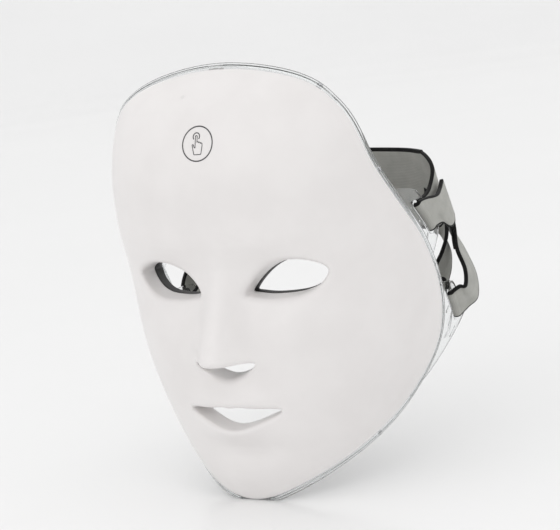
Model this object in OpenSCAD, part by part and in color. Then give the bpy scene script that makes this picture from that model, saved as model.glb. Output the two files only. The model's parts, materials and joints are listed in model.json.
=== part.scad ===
// LED face mask: a moulded face shell over a clear liner, light boards in the
// gap between them, and a soft head band held in four slots at the sides.
// The wearer's nose bridge is at the origin. +Z is up, the face looks along -Y
// and +X is the wearer's left.

/* [Overall] */
// Width of the face shell over the cheekbones
mask_w = 184; // [160:1:224]
// Height of the crown edge over the nose bridge
crown_up = 109; // [92:1:132]
// Depth of the chin edge under the nose bridge
chin_down = 126; // [106:1:152]
// Depth of the shell from the front of the face line to the widest section
wrap_d = 94; // [78:1:114]

/* [Walls] */
// Wall of the face shell
shell_wall = 2; // [1.6:0.1:2.4]
// Wall of the clear liner
liner_wall = 1.5; // [1.2:0.1:1.8]
// Gap between shell and liner over the middle of the face
cavity = 9.5; // [9:0.1:11.5]
// Gap between shell and liner at the edge
edge_cavity = 3.6; // [3.4:0.1:4.4]
// Free space between pieces that don't touch
gap = 0.3; // [0.2:0.05:0.4]

/* [Relief of the face] */
// Height of the nose at its tip
nose_h = 20; // [16:0.5:24]
// Distance of the nose base under the nose bridge
nose_drop = 48.5; // [44:0.5:50]
// Distance of the mouth opening under the nose bridge
mouth_drop = 73; // [70:0.5:76]

/* [Openings] */
// Width that the rolled lip adds round each opening
lip_w = 3.5; // [2.5:0.1:4]
// Wall of the rolled lips
lip_wall = 1.6; // [1.2:0.1:2]
// Depth of the eye gaskets
gasket_d = 5.5; // [4:0.1:7]
// Wall of the eye gaskets
gasket_wall = 2; // [1.5:0.1:2.4]

/* [Electronics] */
// Length and width of one light
led_size = [3.5, 2.8, 1.1]; // [0.3:0.1:4]
// Thickness of the flexible light boards
flex_t = 0.3; // [0.2:0.05:0.4]
// Space from the light boards to the liner
flex_stand = 2.8; // [2.6:0.1:3]
// Radius of the touch electrode
touch_r = 10; // [8:0.5:12]
// Height of the touch key over the nose bridge
touch_up = 73; // [66:0.5:76]
// Size of the control board
control_size = [30, 22, 1]; // [0.8:0.1:34]
// Size of the battery pouch
battery_size = [38, 26, 3.6]; // [3:0.1:42]
// Height of the battery over the nose bridge
battery_up = 44; // [40:0.5:46]
// Size of the charging socket: width, thickness, depth
socket_size = [8.9, 3.1, 7]; // [3:0.1:9]

/* [Head band] */
// Width of the tails and flaps
tail_w = 22; // [18:0.5:24]
// Thickness of the band
band_t = 2.2; // [1.8:0.1:2.4]
// Height of the back panel
panel_h = 46; // [40:0.5:50]
// Distance of the back panel behind the upper slots
panel_back = 52; // [46:1:60]
// Length of each slot
slot_l = 25; // [23:0.5:28]
// Width of each slot
slot_w = 5; // [4:0.1:6]
// Width of the bar behind each slot
bar_w = 5.5; // [4:0.1:7]
// Thickness of the clear wings that carry the slots
wing_t = 2; // [1.6:0.1:2.4]
// Thickness of the hook tape
tape_t = 1; // [0.8:0.1:1.2]

/* [Fasteners] */
// Radius of the screw shanks
screw_r = 0.8; // [0.7:0.05:0.9]
// Length of the screw shanks
screw_l = 7; // [6:0.5:9]
// Radius of the screw heads
head_r = 1.5; // [1.3:0.05:1.6]

/* [Hidden] */
$fn = 32;

// ---- curves -------------------------------------------------------------

// Slope of a table of [place, value] knots at knot i
function knot_slope(k, i) =
    let(a = max(i - 1, 0), b = min(i + 1, len(k) - 1)) (k[b][1] - k[a][1]) / (k[b][0] - k[a][0]);
// Index of the span of the table that holds place t
function span_of(k, t, i = 0) = i >= len(k) - 2 || t < k[i + 1][0] ? i : span_of(k, t, i + 1);
// Smooth cubic through the knots, held level past both ends
function curve_at(k, place) =
    let(t = min(max(place, k[0][0]), k[len(k) - 1][0]), i = span_of(k, t),
        h = k[i + 1][0] - k[i][0], s = (t - k[i][0]) / h)
    (2 * pow(s, 3) - 3 * s * s + 1) * k[i][1] + (pow(s, 3) - 2 * s * s + s) * h * knot_slope(k, i)
    + (3 * s * s - 2 * pow(s, 3)) * k[i + 1][1] + (pow(s, 3) - s * s) * h * knot_slope(k, i + 1);
// Smooth path through points of any size, n steps to a span, open or closed
function path_point(p, i, s, shut) =
    let(n = len(p), a = p[shut ? (i + n - 1) % n : max(i - 1, 0)], b = p[i % n],
        c = p[(i + 1) % n], d = p[shut ? (i + 2) % n : min(i + 2, n - 1)])
    0.5 * (2 * b + (c - a) * s + (2 * a - 5 * b + 4 * c - d) * s * s
        + (3 * b - 3 * c + d - a) * pow(s, 3));
function open_path(p, n) =
    concat([for (i = [0 : len(p) - 2]) for (j = [0 : n - 1]) path_point(p, i, j / n, false)],
        [p[len(p) - 1]]);
function shut_path(p, n, lag) =
    [for (i = [0 : len(p) - 1]) for (j = [0 : n - 1]) path_point(p, i, (j + lag) / n, true)];
function unit(v) = v / norm(v);
function hump(x, z, z0, w, h, rise) = rise * exp(-pow(x / w, 2) - pow((z - z0) / h, 2));

// ---- the face surface -----------------------------------------------------

half_w = mask_w / 2;
mid_z = (crown_up - chin_down) / 2;
half_h = (crown_up + chin_down) / 2;
// Front line, half width and depth of the section, against height from chin -1 to crown 1
front_line = [[-1, -8], [-0.78, -13], [-0.52, -16], [-0.18, -16], [0.08, -16], [0.33, -21],
    [0.58, -21], [0.84, -10], [1, 7]];
width_line = [[-1, 0.48], [-0.78, 0.7], [-0.61, 0.82], [-0.35, 0.95], [-0.1, 1], [0.2, 1],
    [0.58, 0.92], [0.84, 0.83], [1, 0.7]];
depth_line = [[-1, 0.68], [-0.78, 0.88], [-0.61, 0.96], [-0.23, 1], [0.16, 0.88], [0.58, 0.69],
    [0.84, 0.55], [1, 0.43]];
// Angle of the edge round the section, times the square root of 1 - q squared
reach_line = [[-1, 82], [-0.8, 92], [-0.5, 92], [-0.2, 84], [0.1, 78], [0.5, 78], [0.8, 96],
    [0.93, 112], [1, 116]];
section_power = 2.5;

function height_share(z) = (z - mid_z) / half_h;
function front_y(z) = curve_at(front_line, height_share(z));
function side_w(z) = half_w * curve_at(width_line, height_share(z));
function depth_y(z) = wrap_d * curve_at(depth_line, height_share(z));

// Nose: a wedge that rises and widens down to the base, with a rounded step under it
function nose(x, z) =
    let(t = min(max((6 - z) / (nose_drop + 5.5), 0), 1))
    (2 + nose_h * pow(t, 1.1)) * exp(-pow(abs(x) / (7 + 8.5 * t), 2.4))
    / (1 + exp(-(z + nose_drop) / 1.6)) / (1 + exp((z - 14) / 6));
// Forward relief of brow, eye hollows, nose, cheeks, lips and chin
function relief(x, z) =
    let(c = abs(x))
    nose(x, z) + hump(c - 26, z, 19, 24, 9, 2.5) + hump(c - 34, z, -2, 20, 14, -5)
    + hump(c - 44, z, -34, 24, 22, 4) + hump(x, z, -mouth_drop, 30, 22, 7)
    + hump(x, z, 6 - mouth_drop, 24, 5, 2) + hump(x, z, -11 - mouth_drop, 20, 5.5, 2.5)
    + hump(x, z, -23 - mouth_drop, 26, 6, -2) + hump(x, z, -39 - mouth_drop, 20, 12, 5);

// Point of the layer that lies deep under the outer surface, at section angle a
function skin(a, z, deep) =
    let(p = section_power, s = sin(a), c = cos(a), n = pow(pow(abs(s), p) + pow(abs(c), p), 1 / p),
        x = (side_w(z) - deep) * s / n)
    [x, front_y(z) + deep + (depth_y(z) - deep) * (1 - c / n) - relief(x, z), z];
// The same layer over a point of the front view
function skin_at(x, z, deep) =
    let(p = section_power, t = min(abs(x) / (side_w(z) - deep), 1))
    [x, front_y(z) + deep + (depth_y(z) - deep) * (1 - pow(1 - pow(t, p), 1 / p)) - relief(x, z), z];
// The same layer over a point of the side view, carried straight on past the widest section
function skin_side(y, z, deep) =
    let(p = section_power, t = min(max((y - front_y(z) - deep) / (depth_y(z) - deep), 0), 1))
    (side_w(z) - deep) * pow(1 - pow(1 - t, p), 1 / p);
// Point of the layer over the unit disc, whose edge is the edge of the shell
function disc_skin(p, q, deep) = skin(p * curve_at(reach_line, q), mid_z + half_h * q, deep);
// A square of u and v, each from -1 to 1, laid on the unit disc
function on_disc(u, v) = [u * sqrt(1 - v * v / 2), v * sqrt(1 - u * u / 2)];
// Outward normal of the disc layer, by small steps
function disc_normal(p, q, deep) =
    let(e = 0.002) unit(cross(disc_skin(p + e, q, deep) - disc_skin(p - e, q, deep),
        disc_skin(p, q + e, deep) - disc_skin(p, q - e, deep)));
function front_normal(x, z, deep) =
    let(e = 0.2) unit(cross(skin_at(x + e, z, deep) - skin_at(x - e, z, deep),
        skin_at(x, z + e, deep) - skin_at(x, z - e, deep)));
// Depth of the liner's outer face, from the middle out to the edge
liner_mid = shell_wall + cavity;
liner_edge = shell_wall + edge_cavity;
function liner_deep(r) = liner_mid + (liner_edge - liner_mid) * pow(min(r, 1), 6);
function disc_radius(x, z) =
    let(q = height_share(z), p = section_power, t = min(abs(x) / side_w(z), 0.999),
        a = atan2(t, pow(1 - pow(t, p), 1 / p)))
    norm([a / curve_at(reach_line, q), q]);

// ---- solids from rows of points ---------------------------------------------

// Closed solid between two sheets of the same grid; front faces the outside
module slab(front, back) {
    n = len(front);
    m = len(front[0]);
    points = concat([for (r = front) each r], [for (r = back) each r]);
    rear = n * m;
    quads = [for (i = [0 : n - 2]) for (j = [0 : m - 2])
        let(a = i * m + j, b = a + m) each [[a, b + 1, b], [a, a + 1, b + 1],
            [rear + a, rear + b, rear + b + 1], [rear + a, rear + b + 1, rear + a + 1]]];
    edge = concat([for (i = [0 : n - 2]) i * m], [for (j = [0 : m - 2]) (n - 1) * m + j],
        [for (i = [n - 1 : -1 : 1]) i * m + m - 1], [for (j = [m - 1 : -1 : 1]) j]);
    walls = [for (i = [0 : len(edge) - 1])
        let(a = edge[i], b = edge[(i + 1) % len(edge)]) each [[a, b, rear + a], [b, rear + b, rear + a]]];
    polyhedron(points, concat(quads, walls), convexity = 8);
}

// Solid ring or bar: each row is one cross-section, all with the same number of points
module sweep(rows, shut) {
    n = len(rows);
    m = len(rows[0]);
    last = shut ? n - 1 : n - 2;
    skin_faces = [for (i = [0 : last]) for (j = [0 : m - 1])
        let(a = i * m + j, b = i * m + (j + 1) % m, c = ((i + 1) % n) * m + j,
            d = ((i + 1) % n) * m + (j + 1) % m) each [[a, b, d], [a, d, c]]];
    caps = shut ? [] : concat([[for (j = [m - 1 : -1 : 0]) j]], [[for (j = [0 : m - 1]) (n - 1) * m + j]]);
    polyhedron([for (r = rows) each r], concat(skin_faces, caps), convexity = 8);
}

// ---- openings ----------------------------------------------------------------

// Outlines in the front view, as knots of smooth closed paths, anticlockwise
eye_knots = [[14, -9], [19.5, -11.5], [30, -12.5], [44, -11.5], [54, -7], [59, 0], [55, 4.5],
    [45, 7.5], [33, 6.5], [22, 0.5]];
nostril_knots = [[-18, 1.5], [-9.5, -4], [0, -6.5], [9.5, -4], [18, 1.5], [14, 3.5], [0, 3.5], [-14, 3.5]];
mouth_knots = [[-28, 0], [-15, -6.5], [0, -10], [15, -6.5], [28, 0], [13, 2], [5, 3], [0, 2.4], [-5, 3],
    [-13, 2]];
function moved(k, z) = [for (p = k) [p[0], p[1] + z]];
function flipped(k) = [for (i = [len(k) - 1 : -1 : 0]) [-k[i][0], k[i][1]]];
eye_left = eye_knots;
eye_right = flipped(eye_knots);
nostril = moved(nostril_knots, -nose_drop);
mouth = moved(mouth_knots, -mouth_drop);
outline_steps = 4;

// Outline grown outwards by g, evened out so that its corners stay round
function outward(path, i) =
    let(n = len(path), d = path[(i + 1) % n] - path[(i + n - 1) % n]) unit([d[1], -d[0]]);
function grown(knots, g, lag = 0) =
    let(path = shut_path(knots, outline_steps, lag)) [for (i = [0 : len(path) - 1]) path[i] + g * outward(path, i)];
// Ring round an opening: profile points are [growth, depth under the outer surface]
module opening_ring(knots, profile) {
    paths = [for (p = profile) grown(knots, p[0])];
    rows = [for (i = [0 : len(paths[0]) - 1])
        [for (j = [0 : len(profile) - 1]) skin_at(paths[j][i][0], paths[j][i][1], profile[j][1])]];
    sweep(rows, true);
}
// Straight cutter through the whole mask, along Y, with its corners between those of the rings
module opening_cut(knots, g) {
    translate([0, wrap_d, 0]) rotate([90, 0, 0]) linear_extrude(2 * wrap_d) polygon(grown(knots, g, 0.5));
}
lip_end_eye = liner_mid - 1.5;
lip_end_low = liner_mid + liner_wall;
// Rolled lip: the wall of the opening, from the outer surface back to a depth
module lip(knots, end) {
    opening_ring(knots, [[lip_w, 0.4], [0.3 * lip_w, 0.8], [0, 2.4], [-0.8, end], [lip_wall - 0.8, end],
        [lip_wall, 3.6], [lip_w, shell_wall - 0.4]]);
}

// ---- shell and liner ------------------------------------------------------------

shell_cells = 26;
liner_cells = 20;
function layer_rows(cells, deep_mid, deep_edge) = [for (i = [0 : cells]) [for (j = [0 : cells])
    let(d = on_disc(2 * i / cells - 1, 2 * j / cells - 1),
        deep = deep_mid + (deep_edge - deep_mid) * pow(norm(d), 6)) disc_skin(d[0], d[1], deep)]];

// Frame at the edge: place on the outer surface, direction straight back, outward normal
function rim_place(t) = disc_skin(cos(t), sin(t), 0);
function rim_normal(t) = disc_normal(cos(t) * 0.995, sin(t) * 0.995, 0);
function rim_back(t) =
    let(a = rim_place(t + 0.5) - rim_place(t - 0.5)) unit(cross(unit(a), rim_normal(t)));
function rim_point(t, back, out) = rim_place(t) + back * rim_back(t) + out * rim_normal(t);
// The edge of the shell is cut along Y, so it stands back of its outer corner where the rim slopes
flange_t = 2.1;
function flange_start(t) =
    let(d = disc_skin(cos(t), sin(t), shell_wall) - rim_place(t)) max(d * rim_back(t), 0) + gap;
sunk = 0.45;
rim_steps = 60;

boss_angles = [28, 62, 118, 152, 228, 312];
boss_r = edge_cavity / 2 - 0.1;
boss_deep = shell_wall + edge_cavity / 2;
boss_l = 7;

// Puts local z along the edge's backward direction, at a depth under the surface
module at_rim(t, back) {
    o = rim_point(t, back, -boss_deep);
    w = rim_back(t);
    n = rim_normal(t);
    s = cross(n, w);
    multmatrix([[s[0], n[0], w[0], o[0]], [s[1], n[1], w[1], o[1]], [s[2], n[2], w[2], o[2]], [0, 0, 0, 1]])
        children();
}

light_x = -14;
light_z = crown_up - 12;
light_r = 1.2;
// Puts local z along the outward normal of the front, at a depth
module on_front(x, z, deep) {
    o = skin_at(x, z, deep);
    w = front_normal(x, z, deep);
    s = unit(cross([0, 0, 1], w));
    n = cross(w, s);
    multmatrix([[s[0], n[0], w[0], o[0]], [s[1], n[1], w[1], o[1]], [s[2], n[2], w[2], o[2]], [0, 0, 0, 1]])
        children();
}

module front_shell() {
    color("white") resize([0, 0, 0]) {
        difference() {
            slab(layer_rows(shell_cells, 0, 0), layer_rows(shell_cells, shell_wall, shell_wall));
            for (k = [eye_left, eye_right, nostril, mouth]) opening_cut(k, lip_w - 0.4);
            on_front(light_x, light_z, 0) cylinder(h = 4 * shell_wall, r = light_r + 0.15, center = true, $fn = 16);
        }
        lip(eye_left, lip_end_eye);
        lip(eye_right, lip_end_eye);
        lip(nostril, lip_end_low);
        lip(mouth, lip_end_low);
        for (t = boss_angles) at_rim(t, -boss_l - 0.2) difference() {
            translate([0, 0.3, 0]) cylinder(h = boss_l, r = boss_r, $fn = 16);
            translate([0, 0, 1]) cylinder(h = boss_l, r = screw_r + 0.05, $fn = 16);
        }
    }
}

// Wings: sheets that carry the edge of the liner straight back, each with one slot
slot_slope = 51;
slot_dir = [cos(slot_slope), -sin(slot_slope)];
pull_dir = [sin(slot_slope), cos(slot_slope)];
upper_slot_z = 15.5;
lower_slot_z = -40;
upper_slot_back = 21;
lower_slot_back = 22;
upper_slot_t = 14;
lower_slot_t = -17;
// Slot centres in the side view, set back from the edge of the shell
upper_slot = [rim_place(upper_slot_t)[1] + upper_slot_back, upper_slot_z];
lower_slot = [rim_place(lower_slot_t)[1] + lower_slot_back, lower_slot_z];
wing_deep = liner_edge - 1.2;
function wing_x(p) = skin_side(p[0], p[1], wing_deep);
function local(c, along, back) = c + along * slot_dir + back * pull_dir;
wing_edge = slot_w / 2 + bar_w;
function rim_side(t) = let(r = rim_place(t)) [r[1], r[2]];
upper_wing_t = [23, -2];
lower_wing_t = [-8, -44];
upper_wing = [rim_side(upper_wing_t[0]), local(upper_slot, -17, wing_edge - 2.5), local(upper_slot, -11, wing_edge),
    local(upper_slot, 0, wing_edge), local(upper_slot, 11, wing_edge), local(upper_slot, 18, wing_edge - 5),
    rim_side(upper_wing_t[1])];
lower_wing_tip = local(lower_slot, 18, wing_edge - 2);
lower_wing = [rim_side(lower_wing_t[0]), local(lower_slot, -16, wing_edge - 4), local(lower_slot, -10, wing_edge),
    local(lower_slot, 2, wing_edge), local(lower_slot, 12, wing_edge), lower_wing_tip,
    (lower_wing_tip + rim_side(lower_wing_t[1])) / 2 + [6, -3], rim_side(lower_wing_t[1])];
// Place on the edge where a wing starts, sunk a little under the rim of the liner
function wing_root(t) = rim_point(t, -1.5, -wing_deep);
module wing(edge, ts, slot) {
    path = open_path(edge, 2);
    n = len(path) - 1;
    cols = 4;
    function root(i) = wing_root(ts[0] + (ts[1] - ts[0]) * i / n);
    function spot(i, j) = [root(i)[1], root(i)[2]] * (1 - j / cols)
        + (path[i] + (i == 0 || i == n ? [1, 0] : [0, 0])) * (j / cols);
    function sheet(off) = [for (i = [0 : n]) [for (j = [0 : cols])
        let(s = spot(i, j)) [(j == 0 ? root(i)[0] : wing_x(s)) + off, s[0], s[1]]]];
    difference() {
        slab(sheet(wing_t / 2), sheet(-wing_t / 2));
        translate([0, slot[0], slot[1]]) rotate([-slot_slope, 0, 0])
            translate([half_w / 2, -slot_l / 2, -slot_w / 2]) cube([half_w, slot_l, slot_w]);
    }
}

module clear_liner() {
    color("lightcyan", 0.5) resize([0, 0, 0]) difference() {
        union() {
            slab(layer_rows(liner_cells, liner_mid, liner_edge),
                layer_rows(liner_cells, liner_mid + liner_wall, liner_edge + liner_wall));
            sweep([for (i = [0 : rim_steps - 1]) let(t = 360 * i / rim_steps, s = flange_start(t), e = s + flange_t,
                in = sunk - liner_edge - liner_wall)
                [rim_point(t, -3, in), rim_point(t, e, in), rim_point(t, e, gap), rim_point(t, s, gap),
                    rim_point(t, s, -liner_edge - sunk), rim_point(t, -3, -liner_edge - sunk)]], true);
            for (m = [0, 1]) mirror([m, 0, 0]) {
                wing(upper_wing, upper_wing_t, upper_slot);
                wing(lower_wing, lower_wing_t, lower_slot);
            }
        }
        for (k = [eye_left, eye_right]) opening_cut(k, gasket_wall - 0.8 + gap);
        for (k = [nostril, mouth]) opening_cut(k, lip_wall - 0.8 + 3 * gap);
        for (t = boss_angles) at_rim(t, -1) cylinder(h = 6, r = screw_r + 0.2, $fn = 16);
        at_rim(90, -2) cube([socket_size[0] + 0.4, socket_size[1] + 0.3, 12], center = true);
    }
}

module eye_gasket(knots) {
    color("black") opening_ring(knots, [[-0.8, lip_end_eye + 0.1], [-1.2, lip_end_eye + gasket_d],
        [gasket_wall - 1.2, lip_end_eye + gasket_d], [gasket_wall - 0.8, lip_end_eye + 0.1]]);
}
module eye_gasket_left() { eye_gasket(eye_left); }
module eye_gasket_right() { eye_gasket(eye_right); }

// ---- light boards and lights --------------------------------------------------------

function flex_deep(x, z) = liner_deep(disc_radius(x, z)) - flex_stand;
// Flexible board over the front view, from height low to high; half widths at both ends
function flex_rows(low, high, at_low, at_high, nx, nz, more) = [for (i = [0 : nx]) [for (j = [0 : nz])
    let(v = j / nz, z = low + (high - low) * v, a = at_low + (at_high - at_low) * v,
        x = a[0] + (a[1] - a[0]) * i / nx) skin_at(x, z, flex_deep(x, z) + more)]];
module flex(low, high, at_low, at_high, nx, nz) {
    slab(flex_rows(low, high, at_low, at_high, nx, nz, 0), flex_rows(low, high, at_low, at_high, nx, nz, flex_t));
}
forehead_low = 28;
forehead_high = 86;
forehead_x = [[-68, 68], [-46, 46]];
cheek_low = -60;
cheek_high = -21;
cheek_x = [[26, 62], [26, 72]];
chin_low = -115;
chin_high = -97;
chin_x = [[-22, 22], [-40, 40]];
module forehead_flex() { flex(forehead_low, forehead_high, forehead_x[0], forehead_x[1], 14, 5); }
module cheek_flex() { flex(cheek_low, cheek_high, cheek_x[0], cheek_x[1], 6, 4); }
module chin_flex() { flex(chin_low, chin_high, chin_x[0], chin_x[1], 8, 3); }
module led_board_forehead() { color("gainsboro") forehead_flex(); }
module led_board_cheek_left() { color("gainsboro") cheek_flex(); }
module led_board_cheek_right() { color("gainsboro") mirror([1, 0, 0]) cheek_flex(); }
module led_board_chin() { color("gainsboro") chin_flex(); }

// One light on the skin side of its board, lifted clear of the curve of the board
led_lift = 0.5;
module led(x, z) {
    on_front(x, z, flex_deep(x, z) + flex_t + led_size[2] / 2 + led_lift) cube(led_size, center = true);
}
module led_rows(low, high, at_low, at_high, nx, nz) {
    for (j = [0 : nz - 1]) {
        v = (j + 0.5) / nz;
        a = at_low + (at_high - at_low) * v;
        for (i = [0 : nx - 1]) led(a[0] + (a[1] - a[0]) * (i + 0.5) / nx, low + (high - low) * v);
    }
}
module leds_forehead() { color("ivory") led_rows(forehead_low, forehead_high, forehead_x[0], forehead_x[1], 8, 4); }
module cheek_leds() { led_rows(cheek_low, cheek_high, cheek_x[0], cheek_x[1], 4, 4); }
module leds_cheek_left() { color("ivory") cheek_leds(); }
module leds_cheek_right() { color("ivory") mirror([1, 0, 0]) cheek_leds(); }
module leds_chin() { color("ivory") led_rows(chin_low, chin_high, chin_x[0], chin_x[1], 5, 2); }

// Narrow links that join the boards edge to edge, outside the eyes and the mouth
link_w = 5;
module temple_link() {
    flex(cheek_high, forehead_low, [cheek_x[1][1] - link_w, cheek_x[1][1]],
        [forehead_x[0][1] - link_w, forehead_x[0][1]], 1, 6);
}
module chin_link() {
    flex(chin_high, cheek_low, [chin_x[1][1] - link_w, chin_x[1][1]], [chin_x[1][1], chin_x[1][1] + link_w], 1, 4);
}
module flex_link_temple_left() { color("darkorange") temple_link(); }
module flex_link_temple_right() { color("darkorange") mirror([1, 0, 0]) temple_link(); }
module flex_link_chin_left() { color("darkorange") chin_link(); }
module flex_link_chin_right() { color("darkorange") mirror([1, 0, 0]) chin_link(); }

// ---- controls and power --------------------------------------------------------------

electrode_t = 0.3;
electrode_deep = shell_wall + 0.6;
control_deep = shell_wall + 3.4;
spring_r = 2;
wire_r = 0.3;
module touch_electrode() {
    color("goldenrod") on_front(0, touch_up, 0) translate([0, 0, -electrode_deep - electrode_t])
        cylinder(h = electrode_t, r = touch_r, $fn = 48);
}
spring_l = control_deep - electrode_deep - electrode_t;
// Contact spring between the electrode and the control board, as rings of one coil
module touch_spring() {
    turns = 4;
    color("silver") on_front(0, touch_up, 0) translate([0, 0, -control_deep])
        for (i = [0 : turns - 1]) translate([0, 0, wire_r + i * (spring_l - 2 * wire_r) / (turns - 1)])
            rotate_extrude() translate([spring_r, 0]) circle(r = wire_r, $fn = 16);
}
module control_board() {
    color("seagreen") on_front(0, touch_up, 0) translate([0, 0, -control_deep - control_size[2] / 2])
        cube(control_size, center = true);
}
module control_chips() {
    color("dimgray") on_front(0, touch_up, 0) translate([0, 0, -control_deep - control_size[2]]) {
        translate([-4, -2, -0.5]) cube([6, 6, 1], center = true);
        translate([7, 3, -0.4]) cube([3, 3, 0.8], center = true);
        translate([7, -5, -0.4]) cube([4, 2, 0.8], center = true);
        for (i = [0 : 3]) translate([-11, -6 + 4 * i, -0.3]) cube([1.6, 0.8, 0.6], center = true);
        translate([0, 8, -0.4]) cube([5, 2.4, 0.8], center = true);
    }
}
// Printed ring and pointing hand on the shell, over the electrode
mark_t = 0.12;
mark_r = 9.6;
module touch_mark() {
    color("dimgray") on_front(0, touch_up, 0) translate([0, 0, 0.02]) linear_extrude(mark_t) {
        difference() {
            circle(r = mark_r, $fn = 64);
            circle(r = mark_r - 0.6, $fn = 64);
        }
    }
}
battery_deep = shell_wall + 2;
module battery_pouch() {
    color("silver") on_front(0, battery_up, 0) translate([0, 0, -battery_deep - battery_size[2] / 2])
        cube(battery_size, center = true);
}
lead_r = 0.5;
// Round wire through its points, as one swept tube
module wire(points, r) {
    path = open_path(points, 2);
    n = len(path) - 1;
    rows = [for (i = [0 : n]) let(d = unit(path[min(i + 1, n)] - path[max(i - 1, 0)]),
        s = unit(cross(d, [0, 1, 0.3])), w = cross(d, s))
        [for (k = [0 : 7]) path[i] + r * (sin(45 * k) * s + cos(45 * k) * w)]];
    sweep(rows, false);
}
function in_front(x, z, deep) = skin_at(x, z, deep);
lead_deep = shell_wall + 4.9;
module battery_lead() {
    color("firebrick") for (s = [-1, 1])
        wire([in_front(12 + 1.2 * s, battery_up + battery_size[1] / 2 + 0.6, lead_deep - 1.5),
            in_front(12 + 1.2 * s, battery_up + battery_size[1] / 2 + 1.5, lead_deep - 0.8),
            in_front(12 + 1.2 * s, touch_up - control_size[1] / 2 - 2, lead_deep - 0.8)], lead_r);
}
charge_board_size = [14, 0.8, 12];
module charge_board() {
    color("seagreen") at_rim(90, -socket_size[2] - charge_board_size[2] / 2 - 0.1) cube(charge_board_size, center = true);
}
module charge_socket() {
    color("silver") at_rim(90, flange_start(90) + flange_t - socket_size[2] / 2 - 0.2) difference() {
        cube(socket_size, center = true);
        translate([0, 0, 1]) cube([socket_size[0] - 0.7, socket_size[1] - 0.7, socket_size[2]], center = true);
    }
}
module charge_lead() {
    color("firebrick") for (s = [-1, 1])
        wire([in_front(1.2 * s, crown_up - 21, 4.4), in_front(1.2 * s, crown_up - 22, 4.9),
            in_front(1.2 * s, touch_up + control_size[1] / 2 + 0.6, 5.6)], lead_r);
}
module indicator_light() {
    color("gray") on_front(light_x, light_z, 0) translate([0, 0, -shell_wall - 0.5])
        cylinder(h = shell_wall + 0.6, r = light_r, $fn = 24);
}
module liner_screws() {
    color("silver") for (t = boss_angles) at_rim(t, flange_start(t) + flange_t + 0.2) {
        cylinder(h = 1, r = head_r, $fn = 24);
        translate([0, 0, -screw_l]) cylinder(h = screw_l, r = screw_r, $fn = 24);
    }
}

// ---- head band -----------------------------------------------------------------------

// Flat band along knots of [place, direction across the band]
function band_rows(knots, w, t, off) =
    let(path = open_path([for (k = knots) k[0]], 4), side = open_path([for (k = knots) k[1]], 4), n = len(path) - 1)
    [for (i = [0 : n]) let(d = path[min(i + 1, n)] - path[max(i - 1, 0)], s = unit(side[i]), f = unit(cross(d, s)))
        [path[i] - w / 2 * s + (off + t / 2) * f, path[i] + w / 2 * s + (off + t / 2) * f,
            path[i] + w / 2 * s + (off - t / 2) * f, path[i] - w / 2 * s + (off - t / 2) * f]];
module band(knots, w, t, off) { sweep(band_rows(knots, w, t, off), false); }

wrap_r = wing_t / 2 + band_t / 2 + gap + 0.1;
level = [0, 0, -1];
// Frame of a slot on its wing: centre, direction along it, direction to its bar, outward
function on_wing(slot, along, back) = let(p = local(slot, along, back)) [wing_x(p), p[0], p[1]];
function slot_across(slot) = unit(on_wing(slot, slot_l / 2, 0) - on_wing(slot, -slot_l / 2, 0));
function slot_pull(slot) =
    let(a = slot_across(slot), p = on_wing(slot, 0, wing_edge) - on_wing(slot, 0, 0)) unit(p - (p * a) * a);
function slot_out(slot) = cross(slot_across(slot), slot_pull(slot));
upper_c = on_wing(upper_slot, 0, 0);
lower_c = on_wing(lower_slot, 0, 0);
// Level direction along the wing
function slot_run(slot) =
    let(a = slot_across(slot), p = slot_pull(slot)) unit(p[2] * a - a[2] * p);
// Each tail is inside its wing, passes out through the slot and turns round the bar
function turn(slot, t) = on_wing(slot, 0, 0) - wrap_r * cos(t) * slot_out(slot)
    + (slot_w / 2 - wrap_r * sin(t)) * slot_pull(slot);
function turn_knots(slot, list) = [for (t = list) [turn(slot, t), slot_across(slot)]];
panel_z = upper_slot_z + 8;
panel_y = upper_slot[0] + panel_back;
panel_end = [upper_c[0] - 17, panel_y - 10, panel_z];
upper_tail = concat([[panel_end + [1.6, -1.2, panel_h / 4], level], [upper_c + [-5.5, 34, 12.5], [0.12, 0.15, -1]],
    [upper_c + [-3.4, 26, 3], [0.18, 0.25, -0.95]], [upper_c + [-3, 17, 0], [0.12, 0.38, -0.92]],
    [turn(upper_slot, 0) + 8 * slot_run(upper_slot) - 0.6 * slot_out(upper_slot), slot_across(upper_slot)]],
    turn_knots(upper_slot, [0, 45, 90, 135, 180]));
lower_tail = concat([[panel_end + [1.6, -0.8, -panel_h / 4 - 0.8], level], [lower_c + [-8.5, 14, 44], [-0.5, 0.5, -0.7]],
    [lower_c + [-7, 15, 38], [-0.55, 0.8, -0.2]], [lower_c + [-7, 15, 28], [-0.25, 0.95, -0.2]],
    [lower_c + [-9, 13, 19], [-0.05, 0.95, -0.3]], [lower_c + [-11, 9, 10], [0, 0.9, -0.45]],
    [turn(lower_slot, 0) + 6.5 * slot_pull(lower_slot) - 3.5 * slot_out(lower_slot), slot_across(lower_slot)]],
    turn_knots(lower_slot, [0, 45, 90, 135, 180]));
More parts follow.
